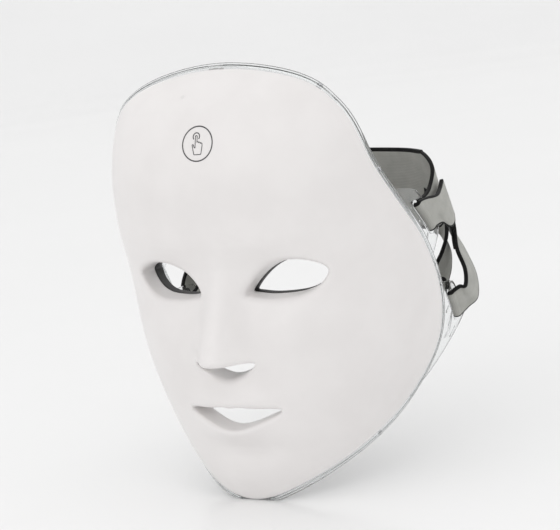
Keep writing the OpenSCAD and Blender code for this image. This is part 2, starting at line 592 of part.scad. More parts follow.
// Each flap starts past its hinge line and lies back along the outside of its tail
flap_start = 2.2;
function flap_root(slot, run) = turn(slot, 180) + flap_start * run;
upper_flap = [[flap_root(upper_slot, slot_run(upper_slot)), slot_across(upper_slot)],
    [turn(upper_slot, 180) + 8 * slot_run(upper_slot) + 0.4 * slot_out(upper_slot), slot_across(upper_slot)],
    [upper_c + [4.3, 17, 0], [0.12, 0.38, -0.92]], [upper_c + [2.9, 25, 1.5], [0.18, 0.25, -0.95]],
    [upper_c + [1.1, 31, 5], [0.14, 0.2, -1]]];
lower_flap = [[flap_root(lower_slot, slot_pull(lower_slot)), slot_across(lower_slot)],
    [turn(lower_slot, 180) + 4.5 * slot_pull(lower_slot) + 2.6 * slot_out(lower_slot), slot_across(lower_slot)],
    [lower_c + [9, 8, 6], [-0.1, 0.85, -0.5]], [lower_c + [7.5, 12.5, 16], [-0.15, 0.93, -0.35]],
    [lower_c + [1, 17, 28], [-0.25, 0.95, -0.2]], [lower_c + [-2.4, 18.6, 38], [-0.45, 0.87, -0.2]],
    [lower_c + [-3.6, 19.2, 43], [-0.5, 0.84, -0.2]]];
panel_half = [[panel_end, level], [[panel_end[0] - 13, panel_y - 4.5, panel_z + 1], level],
    [[panel_end[0] - 38, panel_y - 1, panel_z + 2], level], [[0, panel_y, panel_z + 3], level]];
panel_knots = concat(panel_half, [for (i = [len(panel_half) - 2 : -1 : 0])
    [[-panel_half[i][0][0], panel_half[i][0][1], panel_half[i][0][2]], level]]);

module strap_back_panel() { color("darkgray") band(panel_knots, panel_h, band_t, 0); }
module upper_tail_band() { band(upper_tail, tail_w, band_t, 0); }
module lower_tail_band() { band(lower_tail, tail_w, band_t, 0); }
module upper_flap_band() { band(upper_flap, tail_w, band_t, 0); }
module lower_flap_band() { band(lower_flap, tail_w, band_t, 0); }
// Hook tape on the inner face of the end of a flap, over its last few sections
module tape(knots) {
    rows = band_rows(knots, tail_w - 4, tape_t, (band_t + tape_t) / 2 + 0.4);
    sweep([for (i = [len(rows) - 6 : len(rows) - 1]) rows[i]], false);
}
module strap_tail_upper_left() { color("darkgray") upper_tail_band(); }
module strap_tail_upper_right() { color("darkgray") mirror([1, 0, 0]) upper_tail_band(); }
module strap_tail_lower_left() { color("darkgray") lower_tail_band(); }
module strap_tail_lower_right() { color("darkgray") mirror([1, 0, 0]) lower_tail_band(); }
module strap_flap_upper_left() { color("gray") upper_flap_band(); }
module strap_flap_upper_right() { color("gray") mirror([1, 0, 0]) upper_flap_band(); }
module strap_flap_lower_left() { color("gray") lower_flap_band(); }
module strap_flap_lower_right() { color("gray") mirror([1, 0, 0]) lower_flap_band(); }
module hook_tape_upper_left() { color("black") tape(upper_flap); }
module hook_tape_upper_right() { color("black") mirror([1, 0, 0]) tape(upper_flap); }
module hook_tape_lower_left() { color("black") tape(lower_flap); }
module hook_tape_lower_right() { color("black") mirror([1, 0, 0]) tape(lower_flap); }

front_shell();
clear_liner();
eye_gasket_left();
eye_gasket_right();
led_board_forehead();
led_board_cheek_left();
led_board_cheek_right();
led_board_chin();
leds_forehead();
leds_cheek_left();
leds_cheek_right();
leds_chin();
flex_link_temple_left();
flex_link_temple_right();
flex_link_chin_left();
flex_link_chin_right();
control_board();
control_chips();
touch_electrode();
touch_spring();
touch_mark();
battery_pouch();
battery_lead();
charge_board();
charge_socket();
charge_lead();
indicator_light();
liner_screws();
strap_back_panel();
strap_tail_upper_left();
strap_tail_upper_right();
strap_tail_lower_left();
strap_tail_lower_right();
strap_flap_upper_left();
strap_flap_upper_right();
strap_flap_lower_left();
strap_flap_lower_right();
hook_tape_upper_left();
hook_tape_upper_right();
hook_tape_lower_left();
hook_tape_lower_right();
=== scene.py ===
"""Light therapy face mask: white shell, clear slotted liner, lights and controls between, and a soft head band.

Lengths in the shape functions are millimetres, as on a drawing. Every mesh is turned to metres when it is made.
"""

import json
import math

import bpy
import numpy as np
from mathutils import Matrix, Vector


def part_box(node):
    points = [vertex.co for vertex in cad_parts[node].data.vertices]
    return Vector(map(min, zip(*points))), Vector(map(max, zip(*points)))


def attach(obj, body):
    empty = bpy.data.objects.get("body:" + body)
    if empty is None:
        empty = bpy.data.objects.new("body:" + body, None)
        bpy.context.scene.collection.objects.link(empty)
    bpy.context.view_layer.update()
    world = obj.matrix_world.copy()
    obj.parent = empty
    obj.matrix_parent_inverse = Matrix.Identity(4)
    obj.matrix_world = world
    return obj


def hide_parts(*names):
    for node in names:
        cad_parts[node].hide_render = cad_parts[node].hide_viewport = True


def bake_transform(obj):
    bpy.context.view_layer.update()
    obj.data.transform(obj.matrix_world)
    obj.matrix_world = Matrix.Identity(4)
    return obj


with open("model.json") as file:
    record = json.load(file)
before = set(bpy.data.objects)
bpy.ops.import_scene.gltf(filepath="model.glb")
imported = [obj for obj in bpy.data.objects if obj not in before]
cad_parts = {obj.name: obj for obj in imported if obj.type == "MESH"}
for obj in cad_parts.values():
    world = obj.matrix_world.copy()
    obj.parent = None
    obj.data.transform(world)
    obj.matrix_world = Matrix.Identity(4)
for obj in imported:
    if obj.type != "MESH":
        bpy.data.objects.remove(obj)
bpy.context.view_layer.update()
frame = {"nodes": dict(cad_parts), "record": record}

METRE = 0.001

# ---------------------------------------------------------------- driving sizes

shell_low, shell_high = (np.array(corner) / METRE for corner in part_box("front_shell"))
CROWN = shell_high[2]
CHIN = shell_low[2]
HALF_WIDE = 92.0
WRAP = 94.0
SHELL_WALL = 2.0
LINER_WALL = 1.5
CAVITY = 9.5
EDGE_CAVITY = 3.6
GAP = 0.3
NOSE_RISE = 20.0
NOSE_BASE = -48.5
MOUTH_LEVEL = -73.0
FILLET = 3.5
LIP_WALL = 1.6
GASKET_DEEP = 5.5
TOUCH_LEVEL = 73.0
BAND = 2.2
TAIL = 22.0
PANEL = 46.0
PANEL_BACK = 52.0
SLOT_LONG, SLOT_WIDE, BAR = 25.0, 5.0, 5.5
SLOT_CORNER = 1.6
WING = 2.0
TAPE = 1.0
FLEX = 0.3
FLEX_STAND = 2.8
LED_LONG, LED_WIDE, LED_TALL = 3.5, 2.8, 1.1
LED_LIFT = 0.5

MID_LEVEL = (CROWN + CHIN) / 2
HALF_TALL = (CROWN - CHIN) / 2
LINER_MIDDLE = SHELL_WALL + CAVITY
LINER_EDGE = SHELL_WALL + EDGE_CAVITY
FLANGE = 2.1


# ---------------------------------------------------------------- curves


def curve_at(knots, place):
    """Smooth cubic through knots of (place, value): Hermite spans, with slopes that join both neighbours."""
    knots = np.asarray(knots, float)
    t = np.clip(np.asarray(place, float), knots[0, 0], knots[-1, 0])
    before = np.maximum(np.arange(len(knots)) - 1, 0)
    after = np.minimum(np.arange(len(knots)) + 1, len(knots) - 1)
    slope = (knots[after, 1] - knots[before, 1]) / (knots[after, 0] - knots[before, 0])
    i = np.clip(np.searchsorted(knots[:, 0], t, side="right") - 1, 0, len(knots) - 2)
    wide = knots[i + 1, 0] - knots[i, 0]
    s = (t - knots[i, 0]) / wide
    near = (2 * s**3 - 3 * s**2 + 1) * knots[i, 1] + (s**3 - 2 * s**2 + s) * wide * slope[i]
    far = (3 * s**2 - 2 * s**3) * knots[i + 1, 1] + (s**3 - s**2) * wide * slope[i + 1]
    return near + far


def smooth_path(points, steps, shut=False):
    """Catmull-Rom path through points: each span leaves and arrives along its neighbours' chord."""
    p = np.asarray(points, float)
    n = len(p)
    spans = np.arange(n if shut else n - 1)
    pick = (lambda k: k % n) if shut else (lambda k: np.clip(k, 0, n - 1))
    a, b, c, d = (p[pick(spans + k)][:, None, :] for k in (-1, 0, 1, 2))
    s = (np.arange(steps) / steps)[None, :, None]
    body = 0.5 * (2 * b + (c - a) * s + (2 * a - 5 * b + 4 * c - d) * s**2 + (3 * b - 3 * c + d - a) * s**3)
    body = body.reshape(-1, p.shape[1])
    return body if shut else np.vstack([body, p[-1:]])


def unit(v):
    """Vectors of length one, along the last axis."""
    return v / np.maximum(np.linalg.norm(v, axis=-1, keepdims=True), 1e-12)


def mix(a, b, share):
    """Straight blend from a to b."""
    return a + (b - a) * share


def smoothstep(t):
    """Eased share from 0 to 1."""
    t = np.clip(t, 0, 1)
    return t * t * (3 - 2 * t)


# ---------------------------------------------------------------- the face surface

FRONT_LINE = [(-1, -8), (-0.78, -13), (-0.52, -16), (-0.18, -16), (0.08, -16), (0.33, -21), (0.58, -21),
              (0.84, -10), (1, 7)]
WIDTH_LINE = [(-1, 0.48), (-0.78, 0.7), (-0.61, 0.82), (-0.35, 0.95), (-0.1, 1), (0.2, 1), (0.58, 0.92),
              (0.84, 0.83), (1, 0.7)]
DEPTH_LINE = [(-1, 0.68), (-0.78, 0.88), (-0.61, 0.96), (-0.23, 1), (0.16, 0.88), (0.58, 0.69),
              (0.84, 0.55), (1, 0.43)]
REACH_LINE = [(-1, 82), (-0.8, 92), (-0.5, 92), (-0.2, 84), (0.1, 78), (0.5, 78), (0.8, 96), (0.93, 112),
              (1, 116)]
SECTION = 2.5


def height_share(z):
    """Height from -1 at the chin to 1 at the crown."""
    return (z - MID_LEVEL) / HALF_TALL


def front_y(z):
    """How far back the middle line of the face lies at a height."""
    return curve_at(FRONT_LINE, height_share(z))


def side_w(z):
    """Half width of the section at a height."""
    return HALF_WIDE * curve_at(WIDTH_LINE, height_share(z))


def depth_y(z):
    """How far the section wraps back at a height."""
    return WRAP * curve_at(DEPTH_LINE, height_share(z))


def hump(x, z, level, wide, tall, rise):
    """Bell of a given rise, wide across and tall up the face."""
    return rise * np.exp(-((x / wide) ** 2) - ((z - level) / tall) ** 2)


def nose(x, z):
    """A wedge that rises and widens down to its base, with eased steps above and below."""
    t = np.clip((6 - z) / (5.5 - NOSE_BASE), 0, 1)
    ridge = (2 + NOSE_RISE * t**1.1) * np.exp(-((np.abs(x) / (7 + 8.5 * t)) ** 2.4))
    return ridge / (1 + np.exp(-(z - NOSE_BASE) / 1.6)) / (1 + np.exp((z - 14) / 6))


def relief(x, z):
    """Forward relief: nose, brow, eye hollows, cheeks, lips and chin, as a sum of bells."""
    c = np.abs(x)
    m = MOUTH_LEVEL
    return (nose(x, z) + hump(c - 26, z, 19, 24, 9, 2.5) + hump(c - 34, z, -2, 20, 14, -5)
            + hump(c - 44, z, -34, 24, 22, 4) + hump(x, z, m, 30, 22, 7) + hump(x, z, m + 6, 24, 5, 2)
            + hump(x, z, m - 11, 20, 5.5, 2.5) + hump(x, z, m - 23, 26, 6, -2) + hump(x, z, m - 39, 20, 12, 5))


def skin(angle, z, deep):
    """Point of the layer that lies deep under the outer surface, at a section angle in degrees.
    Each level section is a superellipse, moved forward by the relief."""
    s, c = np.sin(np.radians(angle)), np.cos(np.radians(angle))
    n = (np.abs(s) ** SECTION + np.abs(c) ** SECTION) ** (1 / SECTION)
    x = (side_w(z) - deep) * s / n
    y = front_y(z) + deep + (depth_y(z) - deep) * (1 - c / n) - relief(x, z)
    return np.stack([x, y, z + 0 * x], -1)


def skin_at(x, z, deep):
    """The same layer over a point of the front view."""
    t = np.minimum(np.abs(x) / (side_w(z) - deep), 1)
    y = front_y(z) + deep + (depth_y(z) - deep) * (1 - (1 - t**SECTION) ** (1 / SECTION)) - relief(x, z)
    return np.stack([x + 0 * y, y, z + 0 * y], -1)


def skin_side(y, z, deep):
    """Half width of the layer over a point of the side view, carried straight on past the widest section."""
    t = np.clip((y - front_y(z) - deep) / (depth_y(z) - deep), 0, 1)
    return (side_w(z) - deep) * (1 - (1 - t) ** SECTION) ** (1 / SECTION)


def disc_skin(p, q, deep):
    """The layer over the unit disc, whose edge is the edge of the shell."""
    return skin(p * curve_at(REACH_LINE, q), MID_LEVEL + HALF_TALL * q, deep)


def on_disc(u, v):
    """A square from -1 to 1 laid on the unit disc."""
    return u * np.sqrt(1 - v * v / 2), v * np.sqrt(1 - u * u / 2)


def liner_deep(r):
    """Depth of the liner's outer face, from the middle of the disc out to its edge."""
    return LINER_MIDDLE + (LINER_EDGE - LINER_MIDDLE) * np.minimum(r, 1) ** 6


def disc_radius(x, z):
    """Distance from the middle of the disc of a point of the front view."""
    q = height_share(z)
    t = np.minimum(np.abs(x) / side_w(z), 0.999)
    angle = np.degrees(np.arctan2(t, (1 - t**SECTION) ** (1 / SECTION)))
    return np.hypot(angle / curve_at(REACH_LINE, q), q)


def front_frame(x, z, deep):
    """Place on a layer with its outward normal, its direction to the wearer's left and its upward direction."""
    e = 0.2
    normal = unit(np.cross(skin_at(x + e, z, deep) - skin_at(x - e, z, deep),
                           skin_at(x, z + e, deep) - skin_at(x, z - e, deep)))
    side = unit(np.cross([0.0, 0.0, 1.0], normal))
    return skin_at(x, z, deep), normal, side, np.cross(normal, side)


def rim_frame(t):
    """Place on the edge of the shell at disc angle t in degrees, with its backward and outward directions."""
    def place(angle, share=1.0):
        return disc_skin(share * np.cos(np.radians(angle)), share * np.sin(np.radians(angle)), 0)

    e = 0.002
    p, q = 0.995 * np.cos(np.radians(t)), 0.995 * np.sin(np.radians(t))
    out = unit(np.cross(disc_skin(p + e, q, 0) - disc_skin(p - e, q, 0),
                        disc_skin(p, q + e, 0) - disc_skin(p, q - e, 0)))
    back = unit(np.cross(unit(place(t + 0.5) - place(t - 0.5)), out))
    return place(t), back, out


def rim_point(t, back, out):
    """Point set back from the edge and out from the surface."""
    place, b, o = rim_frame(t)
    return place + np.asarray(back)[..., None] * b + np.asarray(out)[..., None] * o


def flange_start(t):
    """How far back the cut edge of the shell reaches, plus the gap."""
    place, back, _ = rim_frame(t)
    inner = disc_skin(np.cos(np.radians(t)), np.sin(np.radians(t)), SHELL_WALL)
    return np.maximum(((inner - place) * back).sum(-1), 0) + GAP


# ---------------------------------------------------------------- meshes


class Sheet:
    """Points and faces of one surface, added as woven rows."""

    def __init__(self):
        self.points, self.quads, self.others, self.count = [], [], [], 0

    def add(self, points):
        """Puts an array of points in and returns their numbers, in the array's own rows and columns."""
        points = np.asarray(points, float)
        number = np.arange(self.count, self.count + points[..., 0].size).reshape(points.shape[:-1])
        self.points.append(points.reshape(-1, 3))
        self.count += number.size
        return number

    def weave(self, number, keep=None):
        """Joins neighbouring rows and columns with four-sided faces; keep says which cells are wanted."""
        cells = np.stack([number[:-1, :-1], number[1:, :-1], number[1:, 1:], number[:-1, 1:]], -1)
        self.quads.append(cells[keep] if keep is not None else cells.reshape(-1, 4))

    def tube(self, number, closed=False, capped=False):
        """Weaves rows that are rings; closed joins last to first, capped fills the two end rings."""
        if closed:
            number = np.vstack([number, number[:1]])
        self.weave(np.hstack([number, number[:, :1]]))
        if capped:
            self.others += [tuple(number[0]), tuple(number[-1][::-1])]

    def make(self, name, finish, body, stands_for=(), slot=None, uv=None, marks=None, flip=False):
        """Turns the surface into a smooth mesh in metres that rides on a body and stands for CAD nodes."""
        points = np.vstack(self.points)
        quads = np.vstack(self.quads) if self.quads else np.zeros((0, 4), int)
        used = np.zeros(len(points), bool)
        used[quads.ravel()] = True
        for face in self.others:
            used[list(face)] = True
        renumber = np.cumsum(used) - 1
        faces = renumber[quads].tolist() + [renumber[list(face)].tolist() for face in self.others]
        if flip:
            faces = [face[::-1] for face in faces]
        mesh = bpy.data.meshes.new(name)
        mesh.from_pydata((points[used] * METRE).tolist(), [], faces)
        mesh.polygons.foreach_set("use_smooth", [True] * len(mesh.polygons))
        piece = bpy.data.objects.new(name, mesh)
        bpy.context.scene.collection.objects.link(piece)
        if uv is not None:
            layer = mesh.uv_layers.new(name="cloth")
            corner = np.zeros(len(mesh.loops), int)
            mesh.loops.foreach_get("vertex_index", corner)
            layer.data.foreach_set("uv", uv[used][corner].ravel())
        for mark, values in (marks or {}).items():
            attribute = mesh.attributes.new(mark, "FLOAT", "POINT")
            attribute.data.foreach_set("value", values[used].astype(np.float32))
        mesh.materials.append(finish)
        if body:
            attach(piece, body)
        if stands_for:
            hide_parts(*stands_for)
        return piece


def thicken(piece, thick, offset=-1.0):
    """Gives a surface its wall."""
    wall = piece.modifiers.new("wall", "SOLIDIFY")
    wall.thickness = thick * METRE
    wall.offset = offset
    wall.use_even_offset = False
    wall.use_quality_normals = True


def soften(piece, radius, steps=2):
    """Rounds the sharp edges of a wall."""
    edge = piece.modifiers.new("edge", "BEVEL")
    edge.width = radius * METRE
    edge.segments = steps
    edge.limit_method = "ANGLE"
    edge.angle_limit = math.radians(40)
    edge.harden_normals = False


# ---------------------------------------------------------------- openings

EYE = [(14, -9), (19.5, -11.5), (30, -12.5), (44, -11.5), (54, -7), (59, 0), (55, 4.5), (45, 7.5), (33, 6.5),
       (22, 0.5)]
NOSTRIL = [(-18, 1.5), (-9.5, -4), (0, -6.5), (9.5, -4), (18, 1.5), (14, 3.5), (0, 3.5), (-14, 3.5)]
MOUTH = [(-28, 0), (-15, -6.5), (0, -10), (15, -6.5), (28, 0), (13, 2), (5, 3), (0, 2.4), (-5, 3), (-13, 2)]


class Opening:
    """Smooth closed outline, anticlockwise, with its outward direction at each place."""

    def __init__(self, path, reach=3):
        self.path = path
        along = np.roll(path, -reach, 0) - np.roll(path, reach, 0)
        self.out = unit(np.stack([along[:, 1], -along[:, 0]], -1))
        self.middle = (path.min(0) + path.max(0)) / 2

    def at(self, place, growth):
        """Outline grown outwards, at fractional places along it."""
        n = len(self.path)
        low = np.floor(place).astype(int) % n
        share = (place - np.floor(place))[..., None]
        point = mix(self.path[low], self.path[(low + 1) % n], share)
        out = unit(mix(self.out[low], self.out[(low + 1) % n], share))
        return point + np.asarray(growth)[..., None] * out

    def facing(self, loop):
        """Places along the outline that lie in the same direction from the middle as the points of a loop."""
        reach = np.ptp(self.path, axis=0) / 2

        def turn(points):
            away = (points - self.middle) / reach
            return np.unwrap(np.arctan2(away[:, 1], away[:, 0]))

        own = turn(self.path)
        own = np.concatenate([own - 2 * np.pi, own, own + 2 * np.pi])
        places = np.concatenate([np.arange(len(self.path)) + k * len(self.path) for k in (-1, 0, 1)])
        wanted = turn(loop)
        wanted = wanted - 2 * np.pi * np.round((wanted.mean() - own.mean()) / (2 * np.pi))
        return np.interp(wanted, own, places)


def front_opening(knots, level=0.0, mirrored=False):
    """Opening of the face through (x, z) knots that are measured from a level."""
    points = np.array(knots, float) + [0, level]
    if mirrored:
        points = points[::-1] * [-1, 1]
    return Opening(smooth_path(points, 24, shut=True))


EYE_LEFT = front_opening(EYE)
EYE_RIGHT = front_opening(EYE, mirrored=True)
NOSTRILS = front_opening(NOSTRIL, NOSE_BASE)
LIPS = front_opening(MOUTH, MOUTH_LEVEL)


def loop_round(i0, i1, j0, j1):
    """Grid indices round a block of cells, anticlockwise."""
    i = np.concatenate([np.arange(i0, i1), np.full(j1 - j0, i1), np.arange(i1, i0, -1), np.full(j1 - j0, i0)])
    j = np.concatenate([np.full(i1 - i0, j0), np.arange(j0, j1), np.full(i1 - i0, j1), np.arange(j1, j0, -1)])
    return i, j


def face_sheet(cells, deep_at, openings, spread):
    """A grid over the disc at a depth that varies with radius. A block of cells round each opening gives way
    to rings: the wall and fillet profile of the opening, then straight blends out to the block's edge.
    openings holds (outline, profile of (growth, depth) from the back edge to the surface)."""
    sheet = Sheet()
    u = np.linspace(-1, 1, cells + 1)
    p, q = on_disc(u[:, None], u[None, :])
    radius = np.hypot(p, q)
    points = disc_skin(p, q, deep_at(radius))
    number = sheet.add(points)
    keep = np.ones((cells, cells), bool)
    flat = points[..., [0, 2]]
    for opening, profile in openings:
        low = opening.path.min(0) - profile[-1][0] - spread
        high = opening.path.max(0) + profile[-1][0] + spread
        inside = ((flat > low) & (flat < high)).all(-1)
        i, j = np.nonzero(inside)
        i0, i1, j0, j1 = i.min() - 1, i.max() + 1, j.min() - 1, j.max() + 1
        keep[i0:i1, j0:j1] = False
        ring = loop_round(i0, i1, j0, j1)
        outer = flat[ring]
        places = opening.facing(outer)
        rows = [np.concatenate([opening.at(places, growth), np.full((len(places), 1), deep)], -1)
                for growth, deep in profile]
        edge = opening.at(places, profile[-1][0])
        steps = 7
        for k in range(1, steps):
            share = (k / steps) ** 1.15
            rows.append(np.concatenate([mix(edge, outer, share), np.zeros((len(places), 1))], -1))
        rows = np.array(rows)
        x, z, sunk = rows[..., 0], rows[..., 1], rows[..., 2]
        woven = sheet.add(skin_at(x, z, deep_at(disc_radius(x, z)) + sunk))
        woven = np.vstack([woven, number[ring][None, :]])
        sheet.tube(woven)
    sheet.weave(number, keep)
    edge = loop_round(0, cells, 0, cells)
    return sheet, number[edge], np.degrees(np.arctan2(q[edge], p[edge]))


def fillet_profile(back, steps=8, wide=FILLET, deep=3.2):
    """Growth and depth from an opening's back edge to the surface: tapered wall, then a quarter ellipse."""
    turn = np.linspace(math.pi / 2, 0, steps)
    wall = [(mix(-0.8, 0, s), mix(back, deep, s)) for s in (0, 0.25, 0.5, 0.75)]
    return wall + [(wide * (1 - math.sin(a)), deep * (1 - math.cos(a))) for a in turn]


# ---------------------------------------------------------------- finishes


class Amount:
    """A number or colour in a material. Arithmetic on it adds Math nodes."""

    def __init__(self, paint, socket):
        self.paint, self.socket = paint, socket

    def math(self, operation, *terms):
        return self.paint.node("ShaderNodeMath", {"operation": operation}, *terms)

    def __add__(self, other):
        return self.math("ADD", self, other)

    def __sub__(self, other):
        return self.math("SUBTRACT", self, other)

    def __rsub__(self, other):
        return self.math("SUBTRACT", other, self)

    def __mul__(self, other):
        return self.math("MULTIPLY", self, other)

    def __truediv__(self, other):
        return self.math("DIVIDE", self, other)

    def __rtruediv__(self, other):
        return self.math("DIVIDE", other, self)

    def __pow__(self, other):
        return self.math("POWER", self, other)

    __radd__ = __add__
    __rmul__ = __mul__

    def wave(self):
        """Sine, eased to run from 0 to 1."""
        return self.math("SINE", self) * 0.5 + 0.5

    def between(self, low, high):
        """Eased share of the way from low to high."""
        return self.paint.node("ShaderNodeMapRange", {"interpolation_type": "SMOOTHSTEP"}, self, low, high)


class Paint:
    """One finish: a Principled shader with constants set here and varying parts fed by nodes."""

    def __init__(self, name, color, roughness, **constants):
        self.material = bpy.data.materials.new(name)
        self.material.use_nodes = True
        self.tree = self.material.node_tree
        self.shader = self.tree.nodes["Principled BSDF"]
        self.shader.inputs["Base Color"].default_value = (*color, 1)
        self.shader.inputs["Roughness"].default_value = roughness
        for socket, value in constants.items():
            self.shader.inputs[socket.replace("_", " ")].default_value = value

    def node(self, kind, settings=None, *values, out=0, at=None, **named):
        """Adds a node, makes its settings, fills inputs in order, by number or by name, and returns an output."""
        node = self.tree.nodes.new(kind)
        for key, value in (settings or {}).items():
            setattr(node, key, value)
        by_name = {key.replace("_", " "): value for key, value in named.items()}
        inputs = dict(enumerate(values)) | (at or {}) | by_name
        for key, value in inputs.items():
            if isinstance(value, Amount):
                self.tree.links.new(value.socket, node.inputs[key])
            else:
                node.inputs[key].default_value = value
        return Amount(self, node.outputs[out])

    def place(self):
        """Position in the piece's own space."""
        return self.node("ShaderNodeTexCoord", out="Object")

    def noise(self, scale, detail=2.0, where=None, roughness=0.5):
        """Cloudy value about 0.5, with a grain of one over scale metres."""
        return self.node("ShaderNodeTexNoise", {}, Vector=where or self.place(), Scale=scale, Detail=detail,
                         Roughness=roughness)

    def cells(self, scale, where=None, feature="F1"):
        """Distance to scattered points."""
        return self.node("ShaderNodeTexVoronoi", {"feature": feature}, Vector=where or self.place(), Scale=scale)

    def mix(self, share, one, other):
        """Colour between one and other."""
        one, other = (tone if isinstance(tone, Amount) else (*tone, 1) for tone in (one, other))
        return self.node("ShaderNodeMix", {"data_type": "RGBA"}, out=2, at={0: share, 6: one, 7: other})

    def feed(self, socket, amount):
        """Lets an amount drive one socket of the shader."""
        self.tree.links.new(amount.socket, self.shader.inputs[socket])
        return self

    def bump(self, height, deep):
        """Raises the surface by a height from 0 to 1, deep millimetres at its most."""
        raised = self.node("ShaderNodeBump", {}, Strength=1.0, Distance=deep * METRE, Height=height)
        return self.feed("Normal", raised)


def moulded(name, low, high, roughness, spread=0.05, grain=0.02, **constants):
    """Moulded plastic: faint flow marks in the colour and gloss, and a fine eroded grain."""
    paint = Paint(name, high, roughness, **constants)
    flow = paint.noise(35, 3)
    fine = paint.noise(2600, 2)
    paint.feed("Base Color", paint.mix(flow.between(0.3, 0.7), low, high))
    paint.feed("Roughness", flow * spread + (roughness - spread / 2))
    return paint.bump(fine * 0.7 + paint.noise(420, 2) * 0.3, grain)


def shell_finish():
    """Warm white satin plastic."""
    return moulded("shell_white", (0.83, 0.805, 0.797), (0.86, 0.836, 0.828), 0.36, 0.08, 0.012,
                   Coat_Weight=0.12, Coat_Roughness=0.25).material


def clear_finish():
    """Clear polycarbonate with a little waviness."""
    paint = Paint("liner_clear", (0.93, 0.94, 0.942), 0.03, Transmission_Weight=1.0, IOR=1.46)
    paint.feed("Roughness", paint.noise(60, 3).between(0.35, 0.75) * 0.05 + 0.02)
    return paint.bump(paint.noise(90, 2), 0.03).material


def silicone_finish():
    """Matt black silicone with dust in its pores."""
    paint = Paint("silicone_black", (0.02, 0.019, 0.019), 0.5)
    dust = paint.noise(900, 3).between(0.55, 0.75)
    paint.feed("Base Color", paint.mix(dust, (0.018, 0.017, 0.017), (0.05, 0.048, 0.047)))
    paint.feed("Roughness", paint.noise(200, 2) * 0.15 + 0.42)
    return paint.bump(paint.noise(2400, 2), 0.02).material


def neoprene_finish(name, low, high):
    """Knit face in fine ribs on black foam, which shows on the cut edges. It reads the piece's own cloth map
    in metres and its foam mark."""
    paint = Paint(name, high, 0.85, Sheen_Weight=0.08, Sheen_Roughness=0.5, Specular_IOR_Level=0.15)
    cloth = paint.node("ShaderNodeUVMap", {"uv_map": "cloth"})
    along, across = (paint.node("ShaderNodeSeparateXYZ", {}, cloth, out=k) for k in (0, 1))
    foam = paint.node("ShaderNodeAttribute", {"attribute_name": "foam"}, out="Fac").between(0.45, 0.55)
    pitch = 2 * math.pi / 0.0009
    ribs = (across * pitch + (along * pitch * 0.5).wave() * 1.5).wave()
    loops = (along * pitch * 1.2 + ribs * 1.5).wave()
    knit = ribs * 0.6 + loops * 0.4
    cloud = paint.noise(160, 3)
    fibre = paint.noise(5200, 2)
    shade = cloud * 0.4 + fibre * 0.35 + knit * 0.25
    face = paint.mix(shade.between(0.3, 0.7), low, high)
    pores = paint.cells(3200)
    core = paint.mix(pores.between(0.2, 0.7), (0.003, 0.003, 0.003), (0.012, 0.012, 0.012))
    paint.feed("Base Color", paint.mix(foam, face, core))
    paint.feed("Roughness", foam * -0.15 + 0.88)
    height = (1 - foam) * (knit * 0.8 + fibre * 0.2) + foam * pores
    return paint.bump(height, 0.12).material


def hook_finish():
    """Black hook tape: rows of small stems."""
    paint = Paint("hook_tape", (0.02, 0.02, 0.02), 0.55)
    stems = paint.cells(1100)
    paint.feed("Base Color", paint.mix(stems.between(0.2, 0.8), (0.05, 0.05, 0.05), (0.008, 0.008, 0.008)))
    return paint.bump(1 - stems, 0.4).material


def board_finish(name, base, trace, scale):
    """Printed board: solder mask over tracks, which stand a little proud."""
    paint = Paint(name, base, 0.42, Coat_Weight=0.2, Coat_Roughness=0.2)
    tracks = paint.cells(scale, feature="DISTANCE_TO_EDGE").between(0.02, 0.06)
    cloud = paint.noise(140, 2)
    mask = paint.mix(tracks, trace, base)
    paint.feed("Base Color", paint.mix(cloud.between(0.35, 0.9) * 0.25, mask, tuple(0.8 * c for c in base)))
    paint.feed("Roughness", cloud * 0.12 + 0.36)
    return paint.bump(1 - tracks, 0.04).material


def metal_finish(name, color, roughness, grain=900):
    """Plated metal with fine wear in its gloss."""
    paint = Paint(name, color, roughness, Metallic=1.0)
    wear = paint.noise(grain, 3)
    paint.feed("Base Color", paint.mix(wear.between(0.3, 0.8), tuple(0.78 * c for c in color), color))
    paint.feed("Roughness", wear * 0.2 + (roughness - 0.1))
    return paint.bump(paint.noise(grain * 3, 2), 0.01).material


def foil_finish():
    """Crinkled laminate of the battery pouch."""
    paint = Paint("pouch_foil", (0.72, 0.72, 0.74), 0.32, Metallic=0.9)
    crease = paint.cells(130, feature="DISTANCE_TO_EDGE").between(0.0, 0.35)
    paint.feed("Base Color", paint.mix(paint.noise(70, 3), (0.6, 0.6, 0.62), (0.8, 0.8, 0.82)))
    paint.feed("Roughness", crease * -0.12 + 0.42)
    return paint.bump(crease * 0.6 + paint.noise(300, 3) * 0.4, 0.25).material


def plain_finish(name, low, high, roughness, grain=1500, deep=0.02, **constants):
    """Small plastic, film or print: two close tones, uneven gloss and a fine grain."""
    paint = Paint(name, high, roughness, **constants)
    cloud = paint.noise(grain / 6, 3)
    paint.feed("Base Color", paint.mix(cloud.between(0.3, 0.7), low, high))
    paint.feed("Roughness", cloud * 0.12 + (roughness - 0.06))
    return paint.bump(paint.noise(grain, 2), deep).material


WHITE = shell_finish()
CLEAR = clear_finish()
SILICONE = silicone_finish()
KNIT = neoprene_finish("neoprene_grey", (0.36, 0.36, 0.335), (0.5, 0.5, 0.47))
HOOKS = hook_finish()
PRINT = plain_finish("print_grey", (0.05, 0.05, 0.053), (0.085, 0.085, 0.09), 0.5, 2400, 0.01)

# ---------------------------------------------------------------- shell and liner


